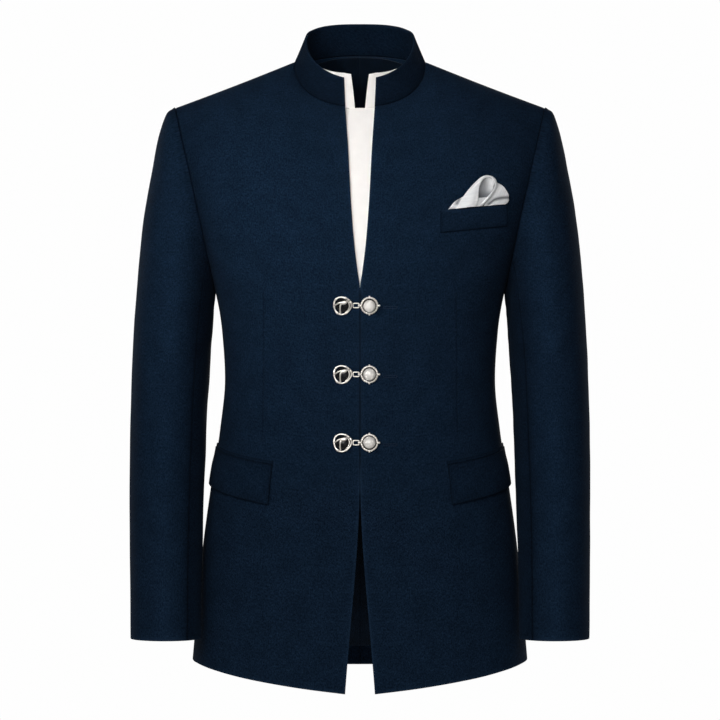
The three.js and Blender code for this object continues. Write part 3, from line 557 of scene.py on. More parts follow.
# Silver-plated casting: bright where it is rubbed, dark in the recesses
def makeSilver(name):
    material, shader = newMaterial(name, {"Metallic": 1.0})
    place = addNode(material, "TexCoord")
    grain = addNode(material, "TexNoise", {"Vector": (place, "Object"), "Scale": 900.0, "Detail": 3.0})
    hammer = addNode(material, "TexNoise", {"Vector": (place, "Object"), "Scale": 320.0, "Detail": 1.0})
    deep = addNode(material, "Attribute", attribute_name="recess")
    sockets = {0: (grain, "Fac"), 6: linear("#d3ccc4"), 7: linear("#f3efe9")}
    bright = addNode(material, "Mix", sockets, data_type="RGBA")
    sockets = {0: (deep, "Fac"), 6: (bright, 2), 7: linear("#2e2a28")}
    colour = addNode(material, "Mix", sockets, data_type="RGBA")
    rough = addNode(material, "MapRange", {"Value": (grain, "Fac"), "To Min": 0.25, "To Max": 0.42})
    bump = addNode(material, "Bump", {"Height": (hammer, "Fac"), "Strength": 0.3, "Distance": 0.0002})
    sockets = {"Base Color": (colour, 2), "Roughness": (rough, "Result"), "Normal": (bump, "Normal")}
    joinSockets(material, shader, sockets)
    return material


# Small pieces in one slightly clouded colour
def makeClouded(name, facts, scale, dark, pale):
    material, shader = newMaterial(name, facts)
    place = addNode(material, "TexCoord")
    cloud = addNode(material, "TexNoise", {"Vector": (place, "Object"), "Scale": scale, "Detail": 2.0})
    sockets = {0: (cloud, "Fac"), 6: linear(dark), 7: linear(pale)}
    colour = addNode(material, "Mix", sockets, data_type="RGBA")
    joinSockets(material, shader, {"Base Color": (colour, 2)})
    return material


wool = makeWool("navy napped suiting wool", woolLook)
cotton = makeCotton("white cotton poplin")
lining = makeSatin("navy viscose satin lining", "#02060b", "#081522", "#12253a", 0.45, 0.08)
silk = makeSatin("silver grey silk satin", "#252d38", "#dcdee1", "#fdfcfb", 0.38, 0.4, 0.9)
silver = makeSilver("silver-plated casting")
# Imitation pearl: a lacquered bead, milky with a clear gloss
facts = {"Roughness": 0.3, "Coat Weight": 0.8, "Coat Roughness": 0.06, "IOR": 1.53}
pearl = makeClouded("lacquered imitation pearl", facts, 260.0, "#ddd8d2", "#efebe5")
# Black glass, moulded and fire-polished: deep colour and a sharp highlight
facts = {"Roughness": 0.12, "IOR": 1.52, "Specular IOR Level": 0.25}
glass = makeClouded("black pressed glass", facts, 180.0, "#020306", "#080a10")
# Buttonhole twist: a glossy three-ply thread, so its ridges catch a little light
facts = {"Roughness": 0.6, "Specular IOR Level": 0.12, "IOR": 1.5}
twist = makeClouded("navy silk buttonhole twist", facts, 1500.0, "#040d18", "#0f2036")
print("materials made")

# Body: two fronts and two backs
bodyLook = {
    "columns": 92,
    "skirtRows": 84,
    "yokeRows": 84,
    "width": 270.0,  # mm of cloth across a panel, then up to the armpit and on to the shoulder
    "skirt": 450.0,
    "yoke": 290.0,
    "dartX": (113.5, 115.5),  # mm from the middle at its upper and lower ends
    "dartZ": (-258.0, -457.0),
    "dartColumn": 0.443,  # its share of the width before the columns are moved to it
    "dartLines": (0.3, 0.7, 1.3, 2.2, 3.6, 6.0),  # mm to either side
    "dartDepth": 0.5,
    "dartEnds": (-250.0, -462.0),  # between these heights it shows
    "closed": (-272.0, -496.0),  # between these the fronts' edges meet
    "armShade": 0.34,
    "dartShade": 0.4,
    "edgeShade": 0.6,
    "facing": 0.34,  # the wool facing behind the front edge, as a share of the width
    "uneven": 0.28,
    "unevenWave": 95.0,
}


def dartShare(z):
    top, low = bodyLook["dartZ"]
    z = np.clip(z, low, top)
    x = lerp(*bodyLook["dartX"], (z - top) / (low - top))
    return 2 / np.pi * np.arcsin(clamp((x - frontEdge(z)) / (bodyHalf(z) - frontEdge(z))))


# Soft creases: x and z of the middle, the lean in degrees, the length, the width and the height.
# Troughs have a negative height. The fronts' tables are at -1, the backs' at 1.
bodyCreases = {
    -1: [
        [
            (158, -296, 222, 34, 8, -0.8), (166, -318, 236, 30, 7, -0.6), (150, -262, 205, 32, 9, 0.5),
            (148, -150, 283, 52, 13, -0.5), (140, -398, 168, 34, 10, -0.5), (52, -560, 262, 80, 18, 0.45),
            (128, -610, 276, 66, 15, -0.4), (60, -120, 250, 48, 14, 0.35),
        ],
        [
            (160, -302, 226, 30, 9, -0.9), (163, -330, 240, 24, 7, -0.5), (146, -268, 208, 38, 8, 0.45),
            (152, -160, 280, 44, 14, -0.45), (146, -388, 172, 40, 12, -0.45), (64, -580, 266, 70, 16, 0.4),
            (120, -630, 272, 60, 17, -0.45), (70, -130, 252, 52, 12, 0.3),
        ],
    ],
    1: [
        [
            (155, -292, 218, 36, 9, -0.9), (162, -322, 232, 30, 8, -0.6), (120, -110, 258, 46, 13, -0.5),
            (60, -70, 182, 40, 8, -0.5), (110, -372, 176, 46, 11, -0.7), (118, -398, 170, 40, 9, 0.5),
            (90, -560, 268, 80, 18, 0.5), (40, -640, 272, 60, 15, -0.4),
        ],
        [
            (158, -298, 221, 32, 8, -0.8), (160, -335, 236, 28, 9, -0.55), (126, -120, 262, 50, 12, -0.45),
            (66, -76, 178, 36, 9, -0.4), (104, -384, 178, 42, 12, -0.65), (116, -356, 173, 38, 10, 0.5),
            (84, -590, 265, 74, 16, 0.45), (46, -655, 270, 56, 14, -0.4),
        ],
    ],
}


def creases(table, a, b):
    total = 0.0
    for x, z, lean, length, width, height in table:
        turn = np.radians(lean)
        along = (a - x) * np.cos(turn) + (b - z) * np.sin(turn)
        across = (b - z) * np.cos(turn) - (a - x) * np.sin(turn)
        total = total + height * bell(across / width) * bell(along / length)
    return total


def bodyGrid(face, side):
    width, column = bodyLook["width"], bodyLook["dartColumn"]
    across = gridLines(bodyLook["columns"], width)
    if face is front:
        beside = np.array(bodyLook["dartLines"]) / width
        dart = column + np.concatenate([-beside[::-1], [0.0], beside])
        across = np.sort(np.concatenate([across[np.abs(across - column) > 7 / width], dart]))
    low = gridLines(bodyLook["skirtRows"], bodyLook["skirt"], high=())
    up = gridLines(bodyLook["yokeRows"], bodyLook["yoke"], low=())
    u, v = np.meshgrid(across, np.concatenate([low, 1 + up[1:]]))
    if face is front:  # the columns follow the dart
        shift = dartShare(shell(face, u, v)[..., 2]) - column
        u = u + shift * np.where(u < column, ease(u / column), ease((1 - u) / (1 - column)))
    grid = shell(face, u, v)
    normal = gridNormals(grid, -face["sign"])
    x, z = grid[..., 0], grid[..., 2]
    lift = bodyLook["uneven"] * drift(x * 1.1, z * 0.8, bodyLook["unevenWave"], 11 + side * 3 + face["sign"])
    lift = lift + creases(bodyCreases[face["sign"]][side], x, z) * ease(u / 0.08)
    lift = lift * clamp((2 - v) / 0.25) * clamp((1 - u) / 0.1)
    shade = bodyLook["armShade"] * bell((1 - u) * width / 24) * ease((v - 0.7) / 0.3) * ease((1.95 - v) / 0.5)
    if face is front:
        top, low = bodyLook["dartEnds"]
        ends = ease((z - low) / 26) * ease((top - z) / 40)
        wide = (u - dartShare(z)) * width
        lift = lift - bodyLook["dartDepth"] * ends * (bell(wide / 0.8) + 0.9 * bell(wide / 7.0))
        shade = np.maximum(shade, bodyLook["dartShade"] * ends * bell(wide / 0.9))
        top, low = bodyLook["closed"]
        closed = ease((top - z) / 10) * ease((z - low) / 20)
        shade = np.maximum(shade, bodyLook["edgeShade"] * closed * bell(u * 160 / 0.9))
    return grid + normal * lift[..., None], u, v, shade


flip = {"left": False, "right": True}
for label, face in (("front", front), ("back", back)):
    for side, (hand, mirror) in enumerate(flip.items()):
        grid, u, v, shade = bodyGrid(face, side)
        rolls = (freeRoll if face is front else seamRoll, seamRoll, freeRoll, seamRoll)
        inside = (u > bodyLook["facing"]) & (v > 0.09) if face is front else v > 0.06
        sign = -face["sign"]
        piece = clothWall(f"{label}_{hand}_cloth", grid, sign, cut["cloth"], rolls, inside, mirror, shade)
        finishPiece(piece, "wool", [f"{label}_{hand}"], [wool, lining])
print("body made")

# Sleeves
sleeveLevels = {
    "v": [0, 0.05, 0.11, 0.2, 0.32, 0.46, 0.6, 0.74, 0.88, 1],
    "outX": [221.2, 230, 239.5, 249, 259.3, 267.9, 273, 274.6, 273.4, 271.2],
    "outZ": [-55, -59, -82, -127, -190, -275, -370, -470, -581, -687],
    "inX": [173.2, 173.8, 174.8, 176.2, 178.6, 181.8, 184.4, 186.6, 188, 188.2],
    "inZ": [-277, -284, -294, -313, -346, -397, -460, -535, -615, -687],
    "depth": [58, 61, 64, 67, 69, 68, 64, 59, 53.5, 48.5],
    "mid": [2, 1, 0, -1, -3, -7, -15, -31, -52, -72],
}
sleeveCurves = {key: curveThrough(sleeveLevels["v"], row) for key, row in sleeveLevels.items() if key != "v"}
sleeveLook = {
    "rows": 130,
    "steps": 22,  # round the sleeve; the seams are at whole steps
    "foreSeam": 8,
    "hindSeam": 16,
    "cloth": 2.0,
    "headFade": 0.34,
    "ridge": 1.1,
    "length": 640.0,
    "girth": 60.0,  # mm of cloth for each radian round, at the head, the middle and the elbow
    "creaseGirth": 55.0,
    "mapGirth": 57.0,
    "bodyShade": 0.34,
    "columns": 4.5,  # for each step round
    "pucker": 0.2,  # the easing at the head, and its wave
    "puckerWave": 2.1,
    "uneven": 0.45,
    "unevenWave": 120.0,
}
# The same table for the sleeves: mm round from the outer edge (the front is positive) and mm down
sleeveCreases = [
    [
        (62, 262, 12, 40, 9, -0.8), (84, 284, -8, 34, 8, -0.7), (70, 312, 18, 36, 10, 0.5),
        (-70, 250, -14, 42, 10, -0.8), (-92, 300, 9, 40, 11, -0.7), (40, 130, 64, 50, 13, -0.5),
        (-46, 120, -60, 52, 14, -0.5), (88, 120, 40, 34, 10, -0.7), (30, 470, 80, 80, 14, -0.45),
        (-38, 500, 98, 76, 15, -0.4),
    ],
    [
        (66, 272, -10, 38, 10, -0.8), (80, 300, 12, 36, 9, -0.6), (58, 330, 6, 40, 11, 0.5),
        (-74, 262, 12, 44, 9, -0.75), (-88, 296, -10, 38, 12, -0.7), (44, 142, 60, 46, 12, -0.5),
        (-50, 132, -64, 48, 13, -0.5), (92, 130, 44, 32, 9, -0.65), (34, 450, 84, 84, 15, -0.45),
        (-42, 480, 95, 72, 14, -0.4),
    ],
]


def armholeSeam(angle):
    v = 1 + np.abs(1 - angle / np.pi)
    one = np.ones_like(v)
    return np.where((angle <= np.pi)[..., None], shell(front, one, v), shell(back, one, v))


# An ellipse between the sleeve's outer and inner edges at one level of the sleeve
def sleeveEllipse(angle, v):
    at = {key: curve(v) for key, curve in sleeveCurves.items()}
    k = (1 + np.cos(angle)) / 2
    y = at["mid"] - at["depth"] * np.sin(angle)
    return points(lerp(at["inX"], at["outX"], k), y, lerp(at["inZ"], at["outZ"], k))


# The sleeve: that ellipse, plus the armhole's own shape, which dies away down the head
def sleeve(angle, v):
    angle = np.mod(angle, 2 * np.pi)
    own = armholeSeam(angle) - sleeveEllipse(angle, np.zeros_like(v))
    fade = clamp(1 - v / sleeveLook["headFade"]) ** 2
    return sleeveEllipse(angle, v) + own * fade[..., None] + np.array([cut["sleeveGap"], 0, 0])


def sleeveGrid(start, end, side):
    turn, girth, length = 2 * np.pi / sleeveLook["steps"], sleeveLook["girth"], sleeveLook["length"]
    trim = cut["seam"] / 2 / girth
    lines = gridLines(int((end - start) * sleeveLook["columns"]), girth * turn * (end - start))
    angle = lerp(start * turn + trim, end * turn - trim, lines)
    angle, v = np.meshgrid(angle, gridLines(sleeveLook["rows"], length))
    grid = sleeve(angle, v)
    normal = gridNormals(grid, 1)
    down = v * length
    upper = ease((np.cos(angle) + 0.35) / 0.9)
    lift = sleeveLook["ridge"] * upper * bell((down - 6) / 7) * ease(down / 4)
    pucker = np.sin(angle * girth / sleeveLook["puckerWave"] + 1.3 * np.sin(angle * 5))
    lift = lift + sleeveLook["pucker"] * upper * bell(down / 26) * ease(down / 5) * pucker
    uneven = drift(angle * sleeveLook["creaseGirth"], down, sleeveLook["unevenWave"], 31 + side)
    lift = lift + sleeveLook["uneven"] * uneven * ease(down / 60)
    around = (np.mod(angle + np.pi, 2 * np.pi) - np.pi) * sleeveLook["creaseGirth"]
    inner = ease((down - 8) / 40) * ease((length - down) / 60)  # none at the ends
    lift = lift + creases(sleeveCreases[side], around, down) * inner
    shade = sleeveLook["bodyShade"] * ease((0.1 - np.cos(angle)) / 0.9) * ease((560 - down) / 520)
    # Painted highlight along the front of the sleeve and painted shade along its inner edge
    inward = (1 - np.cos(angle)) / 2
    tone = 0.16 * bell((inward - 0.5) / 0.14) - 0.2 * ease((inward - 0.68) / 0.2)
    tone = 1 + (tone - 0.06 * ease((0.2 - inward) / 0.2)) * ease(np.sin(angle) / 0.3) * ease(down / 200)
    cloth = np.stack([angle * sleeveLook["mapGirth"], -grid[..., 2]], axis=-1)
    return grid + normal * lift[..., None], v, cloth, shade, tone


fore, hind = sleeveLook["foreSeam"], sleeveLook["hindSeam"]
sleeveParts = {"top_sleeve": (hind - sleeveLook["steps"], fore), "under_sleeve": (fore, hind)}
for side, (hand, mirror) in enumerate(flip.items()):
    for label, (start, end) in sleeveParts.items():
        grid, v, cloth, shade, tone = sleeveGrid(start, end, side)
        inside = v < 0.94
        rolls = (deepSeam, deepSeam, (1.3, 0.8, 0.6), freeRoll)
        piece = clothWall(
            f"{label}_{hand}_cloth", grid, 1, sleeveLook["cloth"], rolls, inside, mirror, shade, tone, cloth
        )
        finishPiece(piece, "wool", [f"{label}_{hand}"], [wool, lining])
print("sleeves made")

# Stand collar
collarLook = {
    "half": 65.3,
    "side": (6.0, 27.0),  # y and z of the top edge's side, and how far it runs on to the front and the back
    "toFront": (63.0, 51.0),
    "toBack": (48.0, 23.0),
    "round": 2.7,
    "seamStart": 10.27,
    "topStart": 17.2,
    "lift": -0.012,
    "cloth": 3.0,
    "columns": 170,
    "rows": 26,
    "tone": 0.62,  # darker: painted shade, and its nap runs across
    "uneven": 0.2,
    "unevenWave": 60.0,
}


def collarTop(angle):
    turn = ease((np.degrees(angle) - 55) / 70)
    reach, climb = [lerp(a, b, turn) for a, b in zip(collarLook["toFront"], collarLook["toBack"])]
    y = collarLook["side"][0] - np.cos(angle) * reach
    square = lerp(1.0, 2 / collarLook["round"], turn)
    rise = -np.sign(np.cos(angle)) * np.abs(np.cos(angle)) ** square
    z = collarLook["side"][1] + rise * climb
    return points(collarLook["half"] * np.clip(np.sin(angle), 0, None) ** square, y, z)


# Straight lines from the neckline to the collar's top edge: c from its front end (0) to the centre back (1)
def collar(c, t):
    seam = np.radians(lerp(collarLook["seamStart"], 180, c))
    isFront = (seam <= np.pi / 2)[..., None]
    low = np.where(isFront, neckline(front, seam), neckline(back, np.pi - seam))
    return low + (collarTop(np.radians(lerp(collarLook["topStart"], 180, c))) - low) * t[..., None]


def wholeCollar(c, t):
    return collar(np.where(c > 1, 2 - c, c), t) * flipped(c > 1)


c, t = shareGrid((collarLook["columns"], 420.0), (collarLook["rows"], 45.0))
c = c * 2
t = lerp(collarLook["lift"] - 0.03 * bell((np.minimum(c, 2 - c) - 0.47) / 0.05), 1, t)
grid = wholeCollar(c, t)
lift = collarLook["uneven"] * drift(c * 200, t * 30, collarLook["unevenWave"], 5) * ease(t * 3)
grid = grid + gridNormals(grid, 1) * lift[..., None]
rolls = (freeRoll, freeRoll, (1.2, 0.7, 0.6), (1.6, 1.0, 0.0))
piece = clothWall("collar_cloth", grid, 1, collarLook["cloth"], rolls, tones=collarLook["tone"])
finishPiece(piece, "wool", ["collar_stand"], [wool])
print("collar made")

# White insert: two bands inside the collar, a bib and its underlay
insertLook = {
    "startSeam": -0.042,
    "startTop": -0.051,
    "level": 0.17,
    "rise": 0.17,
    "cloth": 1.0,
    "end": 0.42,
    "bibTop": 1.9985,
    "bibLow": -292.0,
    "tuckTop": 24.0,
    "tuckLow": 16.0,
    "slantTop": 13.2,
    "slant": 0.114,
    "underlay": (6.0, 40.0, -135.0),  # its near and far sides from the middle, and its foot
    "bandGap": 0.3,  # behind the collar, and then behind the fronts
    "bibGap": 0.9,
    "underlayGap": 2.2,
}


def band(c, t):
    start = lerp(insertLook["startSeam"], insertLook["startTop"], t)
    c = start + (insertLook["end"] - start) * c
    top = 1 + insertLook["rise"] * (1 - np.clip(c, 0, None) / insertLook["level"])
    height = lerp(-0.05 * (1 - ease(c / 0.08)), top, t)  # its front end reaches down to the bib
    normal = normalOf(collar, c, np.minimum(height, 1), 1, (-0.051, 1), (-1, 2))
    return collar(c, height) - normal * (collarLook["cloth"] + insertLook["bandGap"])


c, t = shareGrid((60, 90.0), (26, 50.0))
for hand, mirror in flip.items():
    grid, rolls = band(c, t), (thinRoll,) * 4
    piece = clothWall(f"white_band_{hand}_cloth", grid, 1, insertLook["cloth"], rolls, mirror=mirror)
    finishPiece(piece, "cotton", [f"white_band_{hand}"], [cotton])


def frontShare(x, v):  # found by halving
    low, high = np.full(np.shape(x), tuck), np.ones(np.shape(x))
    for _ in range(34):
        middle = (low + high) / 2
        under = shell(front, middle, v)[..., 0] < x
        low, high = np.where(under, middle, low), np.where(under, high, middle)
    return (low + high) / 2


def behindFront(x, v, gap):
    u = frontShare(np.abs(x), v)
    place = shell(front, u, v) - shellNormal(front, u, v) * (cut["cloth"] + gap)
    place[..., 0] = x
    return place


def fromTop(low, t):  # down the front from its upper edge to a height
    lowV = float(frontPlace(np.array([12.0]), np.array([low]))[1][0])
    return lerp(insertLook["bibTop"], lowV, t)


def bib(share, t):
    v = fromTop(insertLook["bibLow"], t)
    level = shell(front, np.zeros_like(v), v)[..., 2]
    right = -(insertLook["slantTop"] + insertLook["slant"] * (-57.0 - level))
    left = frontEdge(level) + lerp(insertLook["tuckTop"], insertLook["tuckLow"], t)
    return behindFront(lerp(np.maximum(right, -left), left, share), v, insertLook["bibGap"])


def underlay(share, t):
    near, far, low = insertLook["underlay"]
    return behindFront(-lerp(far, near, share), fromTop(low, t), insertLook["underlayGap"])


for label, grid, hand in (
    ("bib", bib(*shareGrid((26, 45.0), (70, 240.0))), "left"),
    ("bib_underlay", underlay(*shareGrid((20, 34.0), (24, 80.0))), "right"),
):
    piece = clothWall(f"{label}_cloth", grid, -1, insertLook["cloth"], (thinRoll,) * 4)
    finishPiece(piece, "cotton", [label], [cotton])
print("insert made")

# Lining of the backs
liningLook = {
    "turnUp": 23.0,
    "gap": 0.8,
    "growth": 2.6,  # the gap's, towards the shoulder
    "side": 0.985,
    "topMiddle": 1.975,
    "topSide": 1.9,
    "cloth": 1.0,
    "depth": (1.0, 0.3, 150.0),  # its painted tone at the foot and its painted shade deep inside, and the millimetres between them
    "pleat": (0.7, 4.0, 0.9),  # how dark the painted shade of a pleat of ease is, how far up it lies and how wide it looks
}


def backLining(u, v):
    hem = shell(back, u, np.zeros_like(v))[..., 2]
    start = liningLook["turnUp"] / (cut["armpit"] - hem)
    end = lerp(liningLook["topMiddle"], liningLook["topSide"], ease(u / 0.4))
    at = np.where(v <= 1, lerp(start, 1, v), lerp(1, end, v - 1))
    gap = liningLook["gap"] * lerp(1, liningLook["growth"], ease((at - 1.1) / 0.4))
    return shell(back, u, at) - shellNormal(back, u, at) * (cut["cloth"] + gap)[..., None]


lines = np.concatenate([gridLines(70, 420.0, high=()), 1 + gridLines(60, 270.0, low=())[1:]])
u, v = np.meshgrid(liningLook["side"] * gridLines(64, 260.0), lines)
# Painted shade: darker above the opening and below the collar, where little light reaches it, and in a line
# along its foot for a pleat of ease
for hand, mirror in flip.items():
    grid = backLining(u, v)
    up = grid[..., 2] - grid[:1, :, 2]
    bright, dull, reach = liningLook["depth"]
    dark, pleat, wide = liningLook["pleat"]
    tone = lerp(bright, dull, ease(up / reach)) * (1 - dark * bell((up - pleat) / wide))
    facts = {"mirror": mirror, "tones": tone}
    piece = clothWall(f"back_lining_{hand}_cloth", grid, 1, liningLook["cloth"], (thinRoll,) * 4, **facts)
    finishPiece(piece, "lining", [f"back_lining_{hand}"], [lining])
print("lining made")

# Hip pockets: flap and jet on each front
flapLook = {
    "from": 0.4,
    "to": 0.985,
    "top": (-481.3, -461.0),
    "low": (-528.3, -504.0),
    "gap": 0.3,
    "cloth": 2.2,
    "standOff": 1.6,
    # painted shade: the flap a little darker than the front
    "tone": 0.92,
    "jet": 4.2,
    "jetCloth": 1.6,
}


def frontStrip(share, high, low, t, out):
    u = lerp(flapLook["from"], flapLook["to"], share)
    z = lerp(high, low, t)
    hem = shell(front, u, np.zeros_like(u))[..., 2]
    v = (z - hem) / (cut["armpit"] - hem)
    return shell(front, u, v) + shellNormal(front, u, v) * np.asarray(out)[..., None]


share, t = shareGrid((60, 150.0), (30, 47.0))
flapTop, flapLow = lerp(*flapLook["top"], share), lerp(*flapLook["low"], share)
near = (0.2, 0.5, 0.9)
jetShare, jetT = shareGrid((60, 150.0), (10, flapLook["jet"], near, near))
jetLow = lerp(*flapLook["top"], jetShare) + 0.15
for hand, mirror in flip.items():
    grid = frontStrip(jetShare, jetLow + flapLook["jet"], jetLow, jetT, flapLook["jetCloth"])
    rolls = ((0.8, 0.9, 0.4),) * 4
    jet = clothWall(f"pocket_jet_{hand}_cloth", grid, -1, flapLook["jetCloth"], rolls, mirror=mirror)
    finishPiece(jet, "wool", [f"pocket_jet_{hand}"], [wool])
    rise = flapLook["standOff"] * ease(t / 0.5) * ease((1 - share) / 0.12)
    crown = 0.5 * np.sin(np.pi * t) * np.sin(np.pi * share) ** 0.5
    grid = frontStrip(share, flapTop, flapLow, t, flapLook["gap"] + flapLook["cloth"] + rise + crown)
    rolls = (turnedRoll, turnedRoll, seamRoll, turnedRoll)
    facts = {"mirror": mirror, "tones": flapLook["tone"]}
    piece = clothWall(f"flap_{hand}_cloth", grid, -1, flapLook["cloth"], rolls, **facts)
    finishPiece(piece, "wool", [f"flap_{hand}"], [wool])
print("hip pockets made")

# Breast welt and pocket square
weltLook = {"x": (94.0, 173.5), "top": (-182.6, -173.8), "low": (-208.8, -199.6), "cloth": 1.8, "gap": 0.2}
share, t = shareGrid((44, 80.0), (22, 26.0))
weltX, weltTop, weltLow = [lerp(*weltLook[key], share) for key in ("x", "top", "low")]
grid = overFront(weltX, lerp(weltTop, weltLow, t), weltLook["gap"] + weltLook["cloth"])
rolls = (turnedRoll, turnedRoll, freeRoll, deepSeam)
piece = clothWall("breast_welt_cloth", grid, -1, weltLook["cloth"], rolls)
finishPiece(piece, "wool", ["breast_welt"], [wool])

# Millimetres from the middle of the welt's upper edge: x to the wearer's left, z up, out from the front
squareLook = {
    "cloth": 0.6,
    "outerX": [-21.6, -17.8, -13.6, -8.4, -3.1, 2.8, 8.8, 14.8, 20.7, 25.2, 26.7, 24.4, 20, 14.8, 9.5, 6.4],
    "outerZ": [-2.2, 3.9, 10.6, 18.1, 24.5, 30.5, 35.5, 37.3, 36.1, 31.9, 26.3, 20.3, 13.6, 7.6, 2.1, 1],
    "outerOut": [3.4, 3, 3.5, 4, 4.5, 5, 5.5, 6, 6, 6, 6, 6, 5.5, 5, 4.5, 3.5],
    "innerX": [1.6, 3.1, 4, 4.2, 4.8, 6.5, 9.5, 13.3, 17, 20.1, 22.1, 22.4, 20.7, 17.4, 12.5, 4.6],
    "innerZ": [0.4, 3.9, 9.6, 15.1, 21.1, 26.3, 31.1, 33.9, 34.5, 32.8, 29.3, 25.5, 21.1, 16.1, 10.6, 0.8],
    "innerOut": [6, 7, 7.5, 8, 8, 7.5, 7, 6.5, 6.5, 7, 8, 8.5, 8.5, 8, 7, 5.5],
    "rightX": [23.6, 27, 30.4, 34.9, 38.6, 41.3, 41.5, 39.8, 36.4],
    "rightZ": [29.5, 29.4, 28.4, 26, 21.1, 15.1, 10.2, 6.6, 4.4],
    "leftX": [-30, -27, -23.3, -18.8, -11.8, -5],
    "leftZ": [-3, 0.9, 5.4, 8.7, 12.6, 15],
    "foldX": [15, 19.3, 26.7, 37.1, 43],
    "foldZ": [2, 3.9, 9.1, 11.3, 11.6],
    "limbX": [4, 8, 14.8, 20, 24.4, 26.7, 24.5],  # the roll's right edge by its height
    "limbZ": [-4, 1, 7.6, 13.6, 20.3, 26.3, 33],
}


def alongTable(key, share):
    table = squareLook[key]
    return curveThrough(np.linspace(0, 1, len(table)), table)(share)


squareX, squareZ = sum(weltLook["x"]) / 2 - 1, sum(weltLook["top"]) / 2


def onSquare(x, z, out):
    return overFront(squareX + x, squareZ + z, out)


# The front roll: up from the pocket, over and down again, round a hollow
def squareLoop(share, t):
    outer = [alongTable("outer" + axis, share) for axis in ("X", "Z", "Out")]
    inner = [alongTable("inner" + axis, share) for axis in ("X", "Z", "Out")]
    x, z, out = [lerp(a, b, t) for a, b in zip(outer, inner)]
    broad = np.hypot(inner[0] - outer[0], inner[1] - outer[1])
    puff = (0.8 + 0.11 * broad) * np.sin(np.pi * t) ** 0.7
    crease = 0.35 * bell((t - 0.8) / 0.05) * ease((0.4 - share) / 0.3)
    crease = crease + 0.3 * bell((t - 0.25) / 0.07) * ease((0.3 - share) / 0.2)
    return onSquare(x, z, out + puff - crease)


# The hollow's back: concave cloth behind the roll
def squareHollow(share, t):
    x = lerp(lerp(-1.0, 14.0, share), lerp(7.5, 23.0, share), t) + 2.5 * share * np.sin(np.pi * t)
    z = lerp(lerp(7.0, 9.0, share), 35.2 - 4.5 * (2 * share - 1) ** 2, t)
    return onSquare(x, z, 2.6 + 2.4 * (2 * share - 1) ** 2 + 2.2 * ease((t - 0.7) / 0.3))


# The inner fold in front of the hollow's foot
def squareInner(share, t):
    x = lerp(lerp(-1.0, 9.5, share), lerp(0.5, 19.0, share), t)
    z = lerp(lerp(0.2, 1.3, share), lerp(10.9, 13.2, share) - 0.6 * np.sin(np.pi * share), t)
    return onSquare(x, z, 4.2 + 1.4 * np.sin(np.pi * lerp(0.1, 0.95, t)) + 0.7 * np.sin(np.pi * share))


alongLimb = curveThrough(squareLook["limbZ"], squareLook["limbX"])
alongFold = curveThrough(squareLook["foldX"], squareLook["foldZ"])


def aboveFold(x, z):
    return z - alongFold(np.clip(x, squareLook["foldX"][0], squareLook["foldX"][-1]))


# The lobe on the right, creased over a lower fold
def squareRight(share, t):
    x = lerp(lerp(11.5, 33.0, share), alongTable("rightX", share), t)
    z = lerp(lerp(1.6, 4.2, share), alongTable("rightZ", share), t)
    over = aboveFold(x, z) * ease((x - 14) / 6)
    step = 1.6 * (1 - ease((over + 1.0) / 2.0)) - 1.8 * bell((over - 0.4) / 1.1)
    roll = 1.6 * np.sin(np.pi * lerp(0.08, 0.97, t)) ** 0.8 + 0.4 * np.sin(share * 11 + 1) * t
    near = 1 - ease((x - alongLimb(z) - 1.0) / 6.0)  # it sinks behind the roll
    return onSquare(x, z, 2.6 + roll + (step - 1.6 * near) * ease((x - 14) / 8) * ease((1.04 - t) / 0.15))


# The small lobe on the left, behind the roll
def squareLeft(share, t):
    x = lerp(lerp(-29.0, -8.0, share), alongTable("leftX", share), t)
    z = lerp(lerp(-2.9, -0.6, share), alongTable("leftZ", share), t)
    roll = 2.0 * np.sin(np.pi * lerp(0.1, 0.95, t)) - 1.2 * bell((share - 0.62) / 0.14) * t
    return onSquare(x, z, 2.2 + roll)


fine, bare = (0.15, 0.5), (0.2,)
grids = [
    squareLoop(*shareGrid((130, 130.0), (20, 12.0, fine, fine))),
    squareHollow(*shareGrid((30, 20.0, bare, bare), (30, 26.0, bare, bare))),
    squareInner(*shareGrid((30, 18.0, bare, bare), (20, 12.0, bare, bare))),
    squareRight(*shareGrid((70, 45.0, fine, fine), (40, 30.0, fine, fine))),
    squareLeft(*shareGrid((34, 24.0, fine, fine), (20, 14.0, fine, fine))),
]
x, z = [grid[..., 0] - squareX for grid in grids], [grid[..., 2] - squareZ for grid in grids]
# Painted shade and light: dark in the hollow and lighter at its upper right, under the right lobe's fold,
# beside the roll and along folds of the loop, inner fold and left lobe
foldShade = 0.8 * ease((x[3] - 15) / 5) * bell((aboveFold(x[3], z[3]) - 0.9) / 1.9)
tones = [
    1.0 - 0.1 * bell((x[0] - 2.5) / 1.6) * ease((8 - z[0]) / 6),
    0.1 + 0.24 * ease((z[1] - 10) / 14) + 0.4 * ease((x[1] - 13) / 8) * ease((z[1] - 14) / 10),
    0.84 - 0.35 * ease((6 - x[2]) / 8) * ease((8 - z[2]) / 6),
    1.0 - foldShade - 0.4 * bell((x[3] - alongLimb(z[3])) / 5.0),
    1.0 - 0.75 * bell((x[4] + 21 - 0.5 * z[4]) / 2.4) * ease((z[4] - 1) / 4),
]
signs = [-np.sign(gridNormals(grid, 1)[..., 1].mean()) for grid in grids]
rolls = ((0.6, 0.9, 0.0),) * 4
piece = clothWall("pocket_square_cloth", grids, signs, squareLook["cloth"], rolls, tones=tones)
piece["flatWidth"] = piece["flatArea"] / piece["flatLength"] * 1.2
finishPiece(piece, "silk", ["pocket_square"], [silk])
print("breast pocket made")

